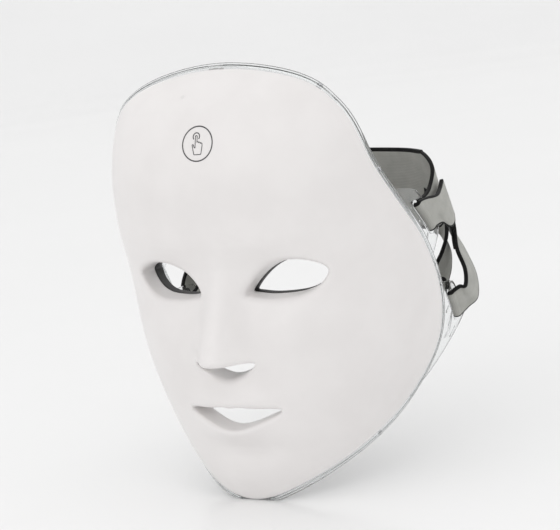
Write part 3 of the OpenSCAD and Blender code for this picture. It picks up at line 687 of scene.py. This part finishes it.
def build_shell():
    """White shell: face sheet with filleted openings, then its wall and rounded edges."""
    eye_back = LINER_MIDDLE - 1.5
    low_back = LINER_MIDDLE + LINER_WALL
    openings = [(EYE_LEFT, fillet_profile(eye_back)), (EYE_RIGHT, fillet_profile(eye_back)),
                (NOSTRILS, fillet_profile(low_back)), (LIPS, fillet_profile(low_back))]
    sheet, _, _ = face_sheet(168, lambda r: 0 * r, openings, 2.4)
    shell = sheet.make("mask_shell", WHITE, "mask", ["front_shell"], "shell_white")
    thicken(shell, SHELL_WALL)
    soften(shell, 0.45)
    return shell


def build_liner():
    """Clear liner: the same sheet deeper down, whose edge turns out past the shell and back as a flange."""
    cut_eye = [(LIP_WALL + 1.0, 0)]
    cut_low = [(LIP_WALL + 0.2, 0)]
    openings = [(EYE_LEFT, cut_eye), (EYE_RIGHT, cut_eye), (NOSTRILS, cut_low), (LIPS, cut_low)]
    sheet, edge, angle = face_sheet(110, liner_deep, openings, 2.4)
    start = flange_start(angle)
    turns = [(0.35, -LINER_EDGE + 0.05), (0.75, -LINER_EDGE + 0.5), (0.95, -LINER_EDGE + 1.4), (1.0, -2.0),
             (1.0, GAP - 0.4)]
    rows = [rim_point(angle, start * back, np.full(len(angle), out)) for back, out in turns]
    lip = [(0.12, GAP - 0.1), (0.45, GAP), (1.2, GAP), (FLANGE + 0.4, GAP)]
    rows += [rim_point(angle, start + back, np.full(len(angle), out)) for back, out in lip]
    woven = np.vstack([edge[None, :], sheet.add(np.array(rows))])
    sheet.tube(woven)
    liner = sheet.make("clear_face_liner", CLEAR, "mask", ["clear_liner"], "liner_clear")
    thicken(liner, LINER_WALL)
    soften(liner, 0.3)
    return liner


# ---------------------------------------------------------------- wings

SLOPE = 51.0
SLOT_ALONG = np.array([math.cos(math.radians(SLOPE)), -math.sin(math.radians(SLOPE))])
SLOT_PULL = np.array([math.sin(math.radians(SLOPE)), math.cos(math.radians(SLOPE))])
WING_DEEP = LINER_EDGE - 1.2
WING_REACH = SLOT_WIDE / 2 + BAR


def rim_side(t):
    """Place on the edge of the shell in the side view."""
    return rim_frame(np.array(float(t)))[0][1:]


class Wing:
    """Clear sheet from the liner's edge back to a bar behind a slot. Places on it are side-view (y, z)."""

    def __init__(self, level, set_back, rim_angle, root_span, outline):
        self.slot = np.array([rim_side(rim_angle)[0] + set_back, level])
        self.span = root_span
        self.knots = [rim_side(root_span[0])] + outline(self.local) + [rim_side(root_span[1])]

    def local(self, along, back):
        """Side-view place measured along the slot and back from it."""
        return self.slot + along * SLOT_ALONG + back * SLOT_PULL

    def local_points(self, points):
        """Side-view places of an array of (along, back)."""
        return self.slot + points[:, :1] * SLOT_ALONG + points[:, 1:] * SLOT_PULL

    def measure(self, places):
        """The way back: along the slot and back from it, of side-view places."""
        offset = places - self.slot
        return np.stack([offset @ SLOT_ALONG, offset @ SLOT_PULL], -1)

    def on(self, along, back):
        """The same place on the wing itself."""
        y, z = self.local(along, back)
        return np.array([skin_side(y, z, WING_DEEP), y, z])

    @property
    def across(self):
        """Direction along the slot."""
        return unit(self.on(SLOT_LONG / 2, 0) - self.on(-SLOT_LONG / 2, 0))

    @property
    def pull(self):
        """Direction back from the slot to its bar, in the wing."""
        forward = self.on(0, WING_REACH) - self.on(0, 0)
        return unit(forward - (forward @ self.across) * self.across)

    @property
    def out(self):
        """Direction out of the wing, away from the head."""
        return np.cross(self.across, self.pull)

    @property
    def run(self):
        """Level direction along the wing."""
        return unit(self.pull[2] * self.across - self.across[2] * self.pull)

    def turn(self, angle):
        """Middle of the band where it wraps the bar: 0 inside the wing, 180 outside."""
        wrap = WING / 2 + BAND / 2 + GAP + 0.1
        a = math.radians(angle)
        return self.on(0, 0) - wrap * math.cos(a) * self.out + (SLOT_WIDE / 2 - wrap * math.sin(a)) * self.pull


def upper_outline(local):
    """Free edge of the upper wings, from the top down."""
    return [local(-17, WING_REACH - 2.5), local(-11, WING_REACH), local(0, WING_REACH), local(11, WING_REACH),
            local(18, WING_REACH - 5)]


def lower_outline(local):
    """Free edge of the lower wings, from the top down to a slanting tail."""
    tip = local(18, WING_REACH - 2)
    return [local(-16, WING_REACH - 4), local(-10, WING_REACH), local(2, WING_REACH), local(12, WING_REACH), tip,
            (tip + rim_side(-44)) / 2 + [6, -3]]


UPPER = Wing(15.5, 21, 14, (23, -2), upper_outline)
LOWER = Wing(-40.0, 22, -17, (-8, -44), lower_outline)


def slot_outline(wing):
    """Rounded rectangle of the slot in the side view, as an opening."""
    half = np.array([SLOT_LONG, SLOT_WIDE]) / 2
    turn = np.radians(np.arange(0, 360, 15)) + 1e-6
    round_part = np.stack([np.cos(turn), np.sin(turn)], -1)
    points = wing.local_points(np.sign(round_part) * (half - SLOT_CORNER) + SLOT_CORNER * round_part)
    return Opening(smooth_path(points, 8, shut=True), 2)


def slot_facing(wing, loop):
    """Places on the slot's edge that face the points of a loop round it, whichever way either runs."""
    slot = slot_outline(wing)
    half = np.array([SLOT_LONG, SLOT_WIDE]) / 2

    def turned(points):
        """Direction of each point from the middle of the slot, as if the slot were as wide as it is long."""
        away = wing.measure(points) / half
        return np.unwrap(np.arctan2(away[:, 1], away[:, 0]))

    own, wanted = turned(slot.path), turned(loop)
    if (wanted[-1] - wanted[0]) * (own[-1] - own[0]) < 0:
        slot.path, slot.out, own = slot.path[::-1], slot.out[::-1], own[::-1]
    step = 2 * np.pi * np.sign(own[-1] - own[0])
    count = len(slot.path)
    table = np.concatenate([own - step, own, own + step])
    places = np.arange(-count, 2 * count)
    if step < 0:
        table, places = table[::-1], places[::-1]
    wanted = wanted - 2 * np.pi * np.round((wanted.mean() - own.mean()) / (2 * np.pi))
    return slot.at(np.interp(wanted, table, places), 0.0)


def build_wing(wing, side, name):
    """Grid from the rim to the outer edge, with rings round the slot; side is 1 left, -1 right."""
    half_slot = np.array([SLOT_LONG, SLOT_WIDE]) / 2
    outer = smooth_path(wing.knots, 12)
    n, m = len(outer) - 1, 24
    angles = mix(wing.span[0], wing.span[1], np.linspace(0, 1, n + 1))
    root = rim_point(angles, np.full(n + 1, -1.5), np.full(n + 1, -WING_DEEP))
    outer[[0, -1]] += [1.0, 0.0]
    share = np.linspace(0, 1, m + 1)
    flat = mix(root[:, None, 1:], outer[:, None, :], share[None, :, None])
    own = skin_side(flat[..., 0], flat[..., 1], WING_DEEP)
    x = mix(root[:, None, 0] + 0 * own, own, smoothstep(share / 0.25)[None, :])
    sheet = Sheet()
    number = sheet.add(np.concatenate([x[..., None], flat], -1))
    inside = (np.abs(wing.measure(flat)) < half_slot + 1.0).all(-1)
    i, j = np.nonzero(inside)
    i0, i1, j0, j1 = i.min() - 1, i.max() + 1, j.min() - 1, min(j.max() + 1, m - 1)
    keep = np.ones((n, m), bool)
    keep[i0:i1, j0:j1] = False
    ring = loop_round(i0, i1, j0, j1)
    loop = flat[ring]
    inner = slot_facing(wing, loop)
    rows = np.array([mix(inner, loop, k / 4) for k in range(4)])
    own_rows = skin_side(rows[..., 0], rows[..., 1], WING_DEEP)
    woven = np.vstack([sheet.add(np.concatenate([own_rows[..., None], rows], -1)), number[ring][None, :]])
    sheet.tube(woven)
    sheet.weave(number, keep)
    for points in sheet.points:
        points[:, 0] *= side
    piece = sheet.make(name, CLEAR, "mask", ["clear_liner"], "liner_clear", flip=side < 0)
    thicken(piece, WING, 0.0)
    soften(piece, 0.5, 3)
    return piece


UPPER_RIBS = [((-13, -8.5), (-14, -4.5)), ((-2, -9), (-3.5, -4.5)), ((9, -9), (7.5, -4.5))]
LOWER_RIBS = [((6, -10.5), (4.5, -4.5)), ((16, -11), (14.5, -4)), ((-4, -9), (-5, -4.5))]


def build_ribs(wing, side, name, bars):
    """Stiffening ribs on the outer face of a wing, between the edge of the shell and the slot: half-round bars that
    run out to nothing at both ends."""
    sheet = Sheet()
    section = np.array([(-0.5, -0.4), (-0.46, 0.1), (-0.25, 0.42), (0.25, 0.42), (0.46, 0.1), (0.5, -0.4)])
    for start, end in bars:
        share = np.linspace(0, 1, 9)
        along, back = mix(start[0], end[0], share), mix(start[1], end[1], share)
        line = np.array([wing.on(a, b) for a, b in zip(along, back)]) + WING / 2 * wing.out
        ahead = unit(np.gradient(line, axis=0))
        sideways = np.cross(ahead, wing.out)
        swell = np.sqrt(np.clip(1 - (2 * share - 1) ** 4, 0.02, 1))
        points = (line[:, None] + section[None, :, :1] * swell[:, None, None] * sideways[:, None]
                  + section[None, :, 1:] * swell[:, None, None] * wing.out)
        sheet.tube(sheet.add(points * [side, 1, 1]), capped=True)
    return sheet.make(name, CLEAR, "mask", [], "liner_clear", flip=side > 0)


# ---------------------------------------------------------------- band


def band_section(width, thick, round_edge=0.45):
    """Half-round-cornered strip: places across and through, starting at the middle of one edge.
    Points i and N - i face each other through the thickness."""
    arc = np.radians(np.linspace(180, 90, 5))
    r = thick / 2 * round_edge
    corner_a = -width / 2 + r + r * np.cos(arc)
    corner_b = thick / 2 - r + r * np.sin(arc)
    flat_a = np.linspace(-width / 2 + r, width / 2 - r, 15)[1:-1]
    top_a = np.concatenate([corner_a, flat_a, -corner_a[::-1]])
    top_b = np.concatenate([corner_b, np.full(len(flat_a), thick / 2), corner_b[::-1]])
    top_a = np.concatenate([[-width / 2], top_a[1:-1], [width / 2]])
    top_b = np.concatenate([[0.0], top_b[1:-1], [0.0]])
    return np.concatenate([top_a, top_a[-2:0:-1]]), np.concatenate([top_b, -top_b[-2:0:-1]])


def ribbon(knots, steps=10):
    """Path through knots of (place, direction across), with the direction across and the outward direction."""
    path = smooth_path([k[0] for k in knots], steps)
    side = unit(smooth_path([k[1] for k in knots], steps))
    ahead = np.gradient(path, axis=0)
    return path, side, unit(np.cross(ahead, side))


def strip(name, rows, width, thick, lift, finish, body, nodes, slot, mirrored, ends=(True, True)):
    """Carries a strip section along ribbon rows. Each free end closes over one row that draws in."""
    path, side, face = rows
    a, b = band_section(width, thick)
    count = len(a)
    points = (path[:, None, :] + a[None, :, None] * side[:, None, :]
              + (b + lift)[None, :, None] * face[:, None, :])
    travel = np.concatenate([[0], np.cumsum(np.linalg.norm(np.diff(path, axis=0), axis=1))])
    cuts = [points]
    if ends[0]:
        ahead = unit(path[0] - path[1])
        middle = path[0] + lift * face[0]
        cuts.insert(0, (middle + (points[0] - middle) * [[0.985]] + 0.45 * ahead)[None])
        travel = np.concatenate([[travel[0] - 0.3], travel])
    if ends[1]:
        ahead = unit(path[-1] - path[-2])
        middle = path[-1] + lift * face[-1]
        cuts.append((middle + (points[-1] - middle) * [[0.985]] + 0.45 * ahead)[None])
        travel = np.concatenate([travel, [travel[-1] + 0.3]])
    points = np.vstack(cuts)
    if mirrored:
        points = points * [-1, 1, 1]
    sheet = Sheet()
    number = sheet.add(points)
    sheet.tube(number)
    half = count // 2
    for row, backwards in ((0, False), (len(points) - 1, True)):
        ring = number[row]
        faces = [(ring[0], ring[1], ring[count - 1]), (ring[half - 1], ring[half], ring[half + 1])]
        faces += [(ring[k], ring[k + 1], ring[count - k - 1], ring[count - k]) for k in range(1, half - 1)]
        sheet.others += [f[::-1] if backwards else f for f in faces]
    around = np.concatenate([[0], np.cumsum(np.hypot(np.diff(a), np.diff(b)))])
    uv = np.stack([np.repeat(travel, count), np.tile(around, len(travel))], -1) * METRE
    foam = np.tile((np.abs(a) > width / 2 - 0.8).astype(float), (len(travel), 1))
    if ends[0]:
        foam[0] = 1
    if ends[1]:
        foam[-1] = 1
    return sheet.make(name, finish, body, nodes, slot, uv, {"foam": foam.ravel()}, flip=mirrored)


def pieces_of_band():
    """Knots of the panel, the tails and the flaps on the wearer's left, as on the CAD solids."""
    level = [0.0, 0.0, -1.0]
    up, low = UPPER, LOWER
    uc, lc = up.on(0, 0), low.on(0, 0)
    panel_z = up.slot[1] + 8
    panel_y = up.slot[0] + PANEL_BACK
    end = np.array([uc[0] - 17, panel_y - 10, panel_z])
    back = [end - [13, -5.5, -1], end - [38, -9, -2]]
    turns = (0, 45, 90, 135, 180)
    up_knots = [(back[0] + [0, 0, PANEL / 4], level), (end + [0, 0, PANEL / 4], level),
                (uc + [-5.5, 34, 12.5], [0.12, 0.15, -1]), (uc + [-3.4, 26, 3], [0.18, 0.25, -0.95]),
                (uc + [-3, 17, 0], [0.12, 0.38, -0.92]), (up.turn(0) + 8 * up.run - 0.6 * up.out, up.across)]
    up_knots += [(up.turn(t), up.across) for t in turns]
    up_flap = [(up.turn(180) + 8 * up.run + 0.4 * up.out, up.across), (uc + [4.3, 17, 0], [0.12, 0.38, -0.92]),
               (uc + [2.9, 25, 1.5], [0.18, 0.25, -0.95]), (uc + [1.1, 31, 5], [0.14, 0.2, -1])]
    low_knots = [(back[0] - [0, 0, PANEL / 4], level), (end - [0, 0, PANEL / 4], level),
                 (lc + [-8.5, 14, 44], [-0.5, 0.5, -0.7]), (lc + [-7, 15, 38], [-0.55, 0.8, -0.2]),
                 (lc + [-7, 15, 28], [-0.25, 0.95, -0.2]), (lc + [-9, 13, 19], [-0.05, 0.95, -0.3]),
                 (lc + [-11, 9, 10], [0, 0.9, -0.45]), (low.turn(0) + 6.5 * low.pull - 3.5 * low.out, low.across)]
    low_knots += [(low.turn(t), low.across) for t in turns]
    low_flap = [(low.turn(180) + 4.5 * low.pull + 2.2 * low.out, 0.7 * low.across + [-0.03, 0.26, -0.15]),
                (lc + [9, 8, 6], [-0.1, 0.85, -0.5]), (lc + [7.5, 12.5, 16], [-0.15, 0.93, -0.35]),
                (lc + [1, 17, 28], [-0.25, 0.95, -0.2]),
                (lc + [-2.4, 18.6, 38], [-0.45, 0.87, -0.2]), (lc + [-3.6, 19.2, 43], [-0.5, 0.84, -0.2])]
    half = [(end, level), (back[0], level), (back[1], level), (np.array([0, panel_y, panel_z + 3]), level)]
    panel = half + [(k[0] * [-1, 1, 1], k[1]) for k in half[-2::-1]]
    return panel, (up_knots, up_flap), (low_knots, low_flap)


def build_band():
    """Back panel, four tails and four flaps. Each tail and its flap are one ribbon, parted at the slot bar."""
    panel, upper, lower = pieces_of_band()
    rows = ribbon(panel)
    piece = strip("band_back_panel", rows, PANEL, BAND, 0, KNIT, "head_band", ["strap_back_panel"],
                  "neoprene_grey", False)
    steps = 10
    for level, wing, (tail_knots, flap_knots) in (("upper", UPPER, upper), ("lower", LOWER, lower)):
        path, side, face = ribbon(tail_knots + flap_knots, steps)
        first, split = steps, (len(tail_knots) - 1) * steps
        tail = tuple(v[first:split + 1] for v in (path, side, face))
        flap = tuple(v[split:] for v in (path, side, face))
        tape = tuple(v[-2 * steps:-3] for v in (path, side, face))
        for side_name, mirrored in (("left", False), ("right", True)):
            tag = f"{level}_{side_name}"
            piece = strip(f"band_tail_{tag}", tail, TAIL, BAND, 0, KNIT, None, [f"strap_tail_{tag}"],
                          "neoprene_grey", mirrored, (True, False))
            if level == "upper":
                (path[first, 1] - 4) * METRE
                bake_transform(piece)
            else:
                (path[first, 2] - 6) * METRE
                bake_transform(piece)
            piece = strip(f"band_flap_{tag}", flap, TAIL, BAND, 0, KNIT, None, [f"strap_flap_{tag}"],
                          "neoprene_grey", mirrored, (False, True))
            flip = np.array([-1, 1, 1]) if mirrored else np.array([1, 1, 1])
            start, end = wing.turn(180) * flip, (wing.turn(180) + 7 * wing.pull) * flip
            tuple(start * METRE)
            tuple(end * METRE)
            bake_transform(piece)
            strip(f"hook_patch_{tag}", tape, TAIL - 4, TAPE, (BAND + TAPE) / 2 + 0.1, HOOKS, f"flap_{tag}",
                  [f"hook_tape_{tag}"], "hook_tape", mirrored)


# ---------------------------------------------------------------- small parts


def build_gasket(opening, name, node):
    """Soft ring behind an eye: a rounded section of growth and depth, carried round the outline."""
    turn = np.linspace(0, 2 * np.pi, 24, endpoint=False)
    lip_end = LINER_MIDDLE - 1.5
    power = 0.45
    growth = 0.15 + 1.25 * np.sign(np.cos(turn)) * np.abs(np.cos(turn)) ** power
    deep = lip_end + GASKET_DEEP / 2 + 0.1 - GASKET_DEEP / 2 * np.sign(np.sin(turn)) * np.abs(np.sin(turn)) ** power
    places = np.linspace(0, len(opening.path), 160, endpoint=False)
    flat = np.array([opening.at(places, np.full(len(places), g)) for g in growth])
    points = skin_at(flat[..., 0], flat[..., 1], deep[:, None])
    sheet = Sheet()
    sheet.tube(sheet.add(points), closed=True)
    return sheet.make(name, SILICONE, "mask", [node], "silicone_black")


def stroke(sheet, line, width=0.62, tall=0.1, shut=False):
    """Raised printed line on the forehead: a flat rounded section along a line of local (x, z) points."""
    line = np.asarray(line, float)
    ahead = np.roll(line, -1, 0) - np.roll(line, 1, 0) if shut else np.gradient(line, axis=0)
    side = unit(np.stack([-ahead[:, 1], ahead[:, 0]], -1))
    section = np.array([(-0.5, -0.2), (-0.5, 0.6), (-0.42, 1), (0.42, 1), (0.5, 0.6), (0.5, -0.2)])
    flat = line[:, None, :] + section[None, :, :1] * width * side[:, None, :]
    place, normal, right, up = front_frame(np.array(0.0), np.array(TOUCH_LEVEL), 0.0)
    rough = place + flat[..., :1] * right + flat[..., 1:] * up
    local_place, local_normal, _, _ = front_frame(rough[..., 0], rough[..., 2], 0.0)
    points = local_place + (0.02 + section[None, :, 1:] * tall) * local_normal
    sheet.tube(sheet.add(points), closed=shut, capped=not shut)


def arc(cx, cz, radius, start, stop, count=24):
    """Points of an arc, angles in degrees."""
    a = np.radians(np.linspace(start, stop, count))
    return np.stack([cx + radius * np.cos(a), cz + radius * np.sin(a)], -1)


def build_touch_mark():
    """Ring, and inside it a pointing hand that presses a dot: printed lines."""
    sheet = Sheet()
    stroke(sheet, arc(0, 0, 9.3, 0, 360, 97)[:-1], 0.68, shut=True)
    tip = (-0.75, 3.9)
    stroke(sheet, arc(*tip, 2.0, -42, 222, 40), 0.55)
    finger = [(-1.3, -2.2), (-1.3, tip[1])] + arc(*tip, 0.55, 180, 0, 12).tolist() + [(-0.2, tip[1]), (-0.2, 0.75)]
    stroke(sheet, smooth_path(finger, 6), 0.42)
    knuckles = np.vstack([arc(0.35, 0.55, 0.58, 160, 0, 9), arc(1.45, 0.3, 0.55, 165, -5, 9),
                          arc(2.5, -0.15, 0.52, 165, 0, 9)])
    palm = [(3.05, -0.9), (3.0, -2.0), (2.45, -5.2), (2.1, -5.7), (0.2, -5.75), (-1.7, -5.7), (-2.1, -5.2),
            (-3.05, -1.2), (-3.15, -0.5), (-2.75, -0.25), (-2.4, -0.55), (-1.95, -1.6), (-1.3, -2.2)]
    stroke(sheet, knuckles, 0.42)
    stroke(sheet, smooth_path([tuple(knuckles[-1])] + palm, 6), 0.42)
    return sheet.make("touch_symbol", PRINT, "mask", ["touch_mark"], "print_grey")


def led_rings():
    """Growth and height of a light's package: a straight body, a sunk rim and a low clear dome."""
    return np.array([(1, 0), (1, 0.62), (0.93, 0.72), (0.74, 0.72), (0.68, 0.6), (0.64, 0.72), (0.42, 0.93), (0.15, 1)])


CHEEK_BOARD = ((-60, -21), (26, 62), (26, 72), (4, 4))
BOARDS = {"forehead": ((28, 86), (-68, 68), (-46, 46), (8, 4)), "cheek_left": CHEEK_BOARD,
          "cheek_right": CHEEK_BOARD, "chin": ((-115, -97), (-22, 22), (-40, 40), (5, 2))}


def build_lights(name, mirrored=False):
    """Rows of lights on the skin side of a board, as on its CAD node. A board is its lower and upper level, its
    sides at each, and how many lights it has across and up."""
    (low, high), at_low, at_high, (across, rows) = BOARDS[name]
    v = (np.arange(rows) + 0.5) / rows
    left, right = mix(at_low[0], at_high[0], v), mix(at_low[1], at_high[1], v)
    i = (np.arange(across) + 0.5) / across
    x = (left[:, None] + (right - left)[:, None] * i[None, :]).ravel()
    z = np.repeat(mix(low, high, v), across)
    deep = liner_deep(disc_radius(x, z)) - FLEX_STAND + FLEX + LED_LIFT + LED_TALL / 2
    centre, normal, side, up = front_frame(x, z, deep)
    turn = np.radians(np.arange(0, 360, 30) + 15)
    c, s = np.cos(turn), np.sin(turn)
    round_square = 1 / (np.abs(c) ** 8 + np.abs(s) ** 8) ** (1 / 8)
    rings = led_rings()
    a = rings[:, :1] * c * round_square * LED_LONG / 2
    b = rings[:, :1] * s * round_square * LED_WIDE / 2
    h = (0.5 - rings[:, 1:]) * LED_TALL + 0 * a
    points = (centre[:, None, None] + a[..., None] * side[:, None, None] + b[..., None] * up[:, None, None]
              + h[..., None] * normal[:, None, None])
    if mirrored:
        points = points * [-1, 1, 1]
    sheet = Sheet()
    number = sheet.add(points)
    for light in number:
        sheet.tube(light, capped=True)
    lens = np.broadcast_to((np.arange(len(rings)) >= 4)[None, :, None], number.shape).astype(float)
    return sheet.make(f"lights_{name}", LIGHTS, "mask", [f"leds_{name}"], "led_body", None,
                      {"lens": lens.ravel()}, flip=mirrored)


BOSS_ANGLES = [28, 62, 118, 152, 228, 312]
BOSS_LONG, BOSS_RADIUS, SCREW_RADIUS = 7.0, 1.7, 0.8


def build_bosses():
    """Six screw posts inside the edge of the shell: a turned profile with a bore, on the shell's own body."""
    t = np.array(BOSS_ANGLES, float)
    place, back, out = rim_frame(t)
    side = np.cross(out, back)
    foot = place - (SHELL_WALL + EDGE_CAVITY / 2) * out
    profile = np.array([(SCREW_RADIUS, 1.0), (SCREW_RADIUS, BOSS_LONG - 0.15), (SCREW_RADIUS + 0.15, BOSS_LONG),
                        (BOSS_RADIUS - 0.2, BOSS_LONG), (BOSS_RADIUS, BOSS_LONG - 0.2), (BOSS_RADIUS, 0)])
    turn = np.radians(np.arange(0, 360, 15))
    sheet = Sheet()
    radial = np.cos(turn)[None, :, None] * side[:, None] + np.sin(turn)[None, :, None] * out[:, None]
    points = (foot[:, None, None] + profile[None, :, None, :1] * radial[:, None]
              + (profile[None, :, None, 1:] - BOSS_LONG - 0.2) * back[:, None, None] + 0.3 * out[:, None, None])
    for post in sheet.add(points):
        sheet.tube(post, capped=True)
    return sheet.make("shell_screw_posts", WHITE, "mask", [], "shell_white")


# ---------------------------------------------------------------- finishes of the CAD pieces


def light_finish():
    """White package with a yellow phosphor window under clear resin."""
    paint = Paint("led_body", (0.88, 0.87, 0.84), 0.25, Coat_Weight=0.6, Coat_Roughness=0.08)
    lens = paint.node("ShaderNodeAttribute", {"attribute_name": "lens"}, out="Fac").between(0.3, 0.7)
    cloud = paint.noise(500, 2)
    phosphor = paint.mix(cloud.between(0.3, 0.7), (0.85, 0.72, 0.18), (0.92, 0.82, 0.32))
    paint.feed("Base Color", paint.mix(lens, (0.85, 0.84, 0.81), phosphor))
    paint.feed("Roughness", cloud * 0.12 + 0.16)
    return paint.bump(paint.noise(1800, 2), 0.01).material


LIGHTS = light_finish()
FINISHES = {
    "flex_board": board_finish("flex_board", (0.8, 0.8, 0.77), (0.66, 0.64, 0.55), 190),
    "flex_link": board_finish("flex_link", (0.55, 0.24, 0.05), (0.7, 0.36, 0.12), 420),
    "circuit_board": board_finish("circuit_board", (0.02, 0.16, 0.06), (0.05, 0.28, 0.12), 520),
    "chip": plain_finish("chip", (0.025, 0.025, 0.027), (0.045, 0.045, 0.05), 0.5),
    "copper": metal_finish("copper", (0.86, 0.52, 0.32), 0.35),
    "spring_steel": metal_finish("spring_steel", (0.72, 0.72, 0.72), 0.28),
    "socket_steel": metal_finish("socket_steel", (0.7, 0.69, 0.68), 0.3),
    "screw_steel": metal_finish("screw_steel", (0.66, 0.66, 0.68), 0.32),
    "pouch_foil": foil_finish(),
    "lead_insulation": plain_finish("lead_insulation", (0.42, 0.02, 0.015), (0.56, 0.04, 0.03), 0.4),
    "light_window": plain_finish("light_window", (0.78, 0.76, 0.75), (0.84, 0.82, 0.81), 0.3, Coat_Weight=0.3),
}


def paint_cad_pieces():
    """Gives each CAD node that shows the finish of its material slot."""
    for part in frame["record"]["subparts"]:
        finish = FINISHES.get(part["material_slot"])
        if finish:
            mesh = frame["nodes"][part["node"]].data
            mesh.materials.clear()
            mesh.materials.append(finish)


# ---------------------------------------------------------------- stage


CAMERA_TURN = (33, 10.3, -7.7)
CAMERA_AWAY = 0.9
CAMERA_LENS = 106.8
CAMERA_SHIFT = (0.084, 0.0125)


def build_camera():
    """Long lens a little above the face, to its front right, level with a slight roll."""
    azimuth, elevation, roll = (math.radians(angle) for angle in CAMERA_TURN)
    back = np.array([math.sin(azimuth) * math.cos(elevation), -math.cos(azimuth) * math.cos(elevation),
                     math.sin(elevation)])
    right = unit(np.cross([0, 0, 1], back))
    up = np.cross(back, right)
    rolled_right = math.cos(roll) * right + math.sin(roll) * up
    rolled_up = -math.sin(roll) * right + math.cos(roll) * up
    lens = bpy.data.cameras.new("camera")
    lens.sensor_width = 36
    lens.lens = CAMERA_LENS
    lens.shift_x, lens.shift_y = CAMERA_SHIFT
    lens.clip_start, lens.clip_end = 0.01, 50
    camera = bpy.data.objects.new("camera", lens)
    bpy.context.scene.collection.objects.link(camera)
    turned = np.stack([rolled_right, rolled_up, back, CAMERA_AWAY * back], 1)
    camera.matrix_world = Matrix([*turned.tolist(), [0, 0, 0, 1]])
    bpy.context.scene.camera = camera


def floor_finish():
    """Pale paper with a soft sheen."""
    paint = Paint("floor_pale", (0.93, 0.93, 0.93), 0.22)
    cloud = paint.noise(3, 2)
    paint.feed("Base Color", paint.mix(cloud.between(0.3, 0.7), (0.925, 0.925, 0.925), (0.935, 0.935, 0.935)))
    return paint.bump(paint.noise(700, 2), 0.01).material


def build_floor():
    """Round floor whose rim curves up into a low bowl."""
    radius = np.concatenate([np.linspace(0.05, 3, 12), 3 + 1.2 * np.sin(np.radians(np.arange(9, 91, 9)))])
    rise = np.concatenate([np.zeros(12), 1.2 * (1 - np.cos(np.radians(np.arange(9, 91, 9))))])
    turn = np.linspace(0, 2 * np.pi, 96, endpoint=False)
    level = CHIN - 0.6
    points = np.stack([radius[:, None] * np.cos(turn) / METRE, radius[:, None] * np.sin(turn) / METRE,
                       rise[:, None] / METRE + level + 0 * turn], -1)
    sheet = Sheet()
    number = sheet.add(points)
    sheet.tube(number)
    sheet.others.append(tuple(number[0]))
    floor = sheet.make("floor", floor_finish(), None, flip=True)


def soft_light(name, place, target, size, power, color=(1, 1, 1)):
    """Square soft light that looks at a point."""
    data = bpy.data.lights.new(name, "AREA")
    data.shape = "SQUARE"
    data.size, data.energy, data.color = size, power, color
    light = bpy.data.objects.new(name, data)
    bpy.context.scene.collection.objects.link(light)
    back = unit(np.array(place, float) - np.array(target, float))
    right = unit(np.cross([0, 0, 1], back)) if abs(back[2]) < 0.999 else np.array([1.0, 0, 0])
    turned = np.stack([right, np.cross(back, right), back, np.array(place, float)], 1)
    light.matrix_world = Matrix([*turned.tolist(), [0, 0, 0, 1]])


def build_lighting():
    """Bright even surround with a large light over the front, a weaker one at the wearer's left side and a weak one
    from above.
    """
    world = bpy.data.worlds.new("surround")
    bpy.context.scene.world = world
    world.use_nodes = True
    world.node_tree.nodes["Background"].inputs["Color"].default_value = (1, 1, 1, 1)
    world.node_tree.nodes["Background"].inputs["Strength"].default_value = 0.96
    soft_light("key", (-0.5, -1.9, 0.8), (0, 0, 0), 1.6, 4, (1, 0.99, 0.98))
    soft_light("side", (1.6, -0.1, 0.5), (0, 0.06, 0), 1.2, 0.7)
    soft_light("top", (0.1, 0.3, 2.0), (0, 0, 0), 1.8, 1)
    bpy.context.scene.view_settings.view_transform = "Standard"


# ---------------------------------------------------------------- assembly

build_camera()
build_floor()
build_lighting()
build_shell()
build_bosses()
build_liner()
for level_name, wing_shape, ribs in (("upper", UPPER, UPPER_RIBS), ("lower", LOWER, LOWER_RIBS)):
    for wing_side, side_word in ((1, "left"), (-1, "right")):
        build_wing(wing_shape, wing_side, f"clear_wing_{level_name}_{side_word}")
        build_ribs(wing_shape, wing_side, f"wing_ribs_{level_name}_{side_word}", ribs)
build_gasket(EYE_LEFT, "eye_ring_left", "eye_gasket_left")
build_gasket(EYE_RIGHT, "eye_ring_right", "eye_gasket_right")
for board_name in BOARDS:
    build_lights(board_name, mirrored=board_name == "cheek_right")
build_touch_mark()
build_band()
paint_cad_pieces()
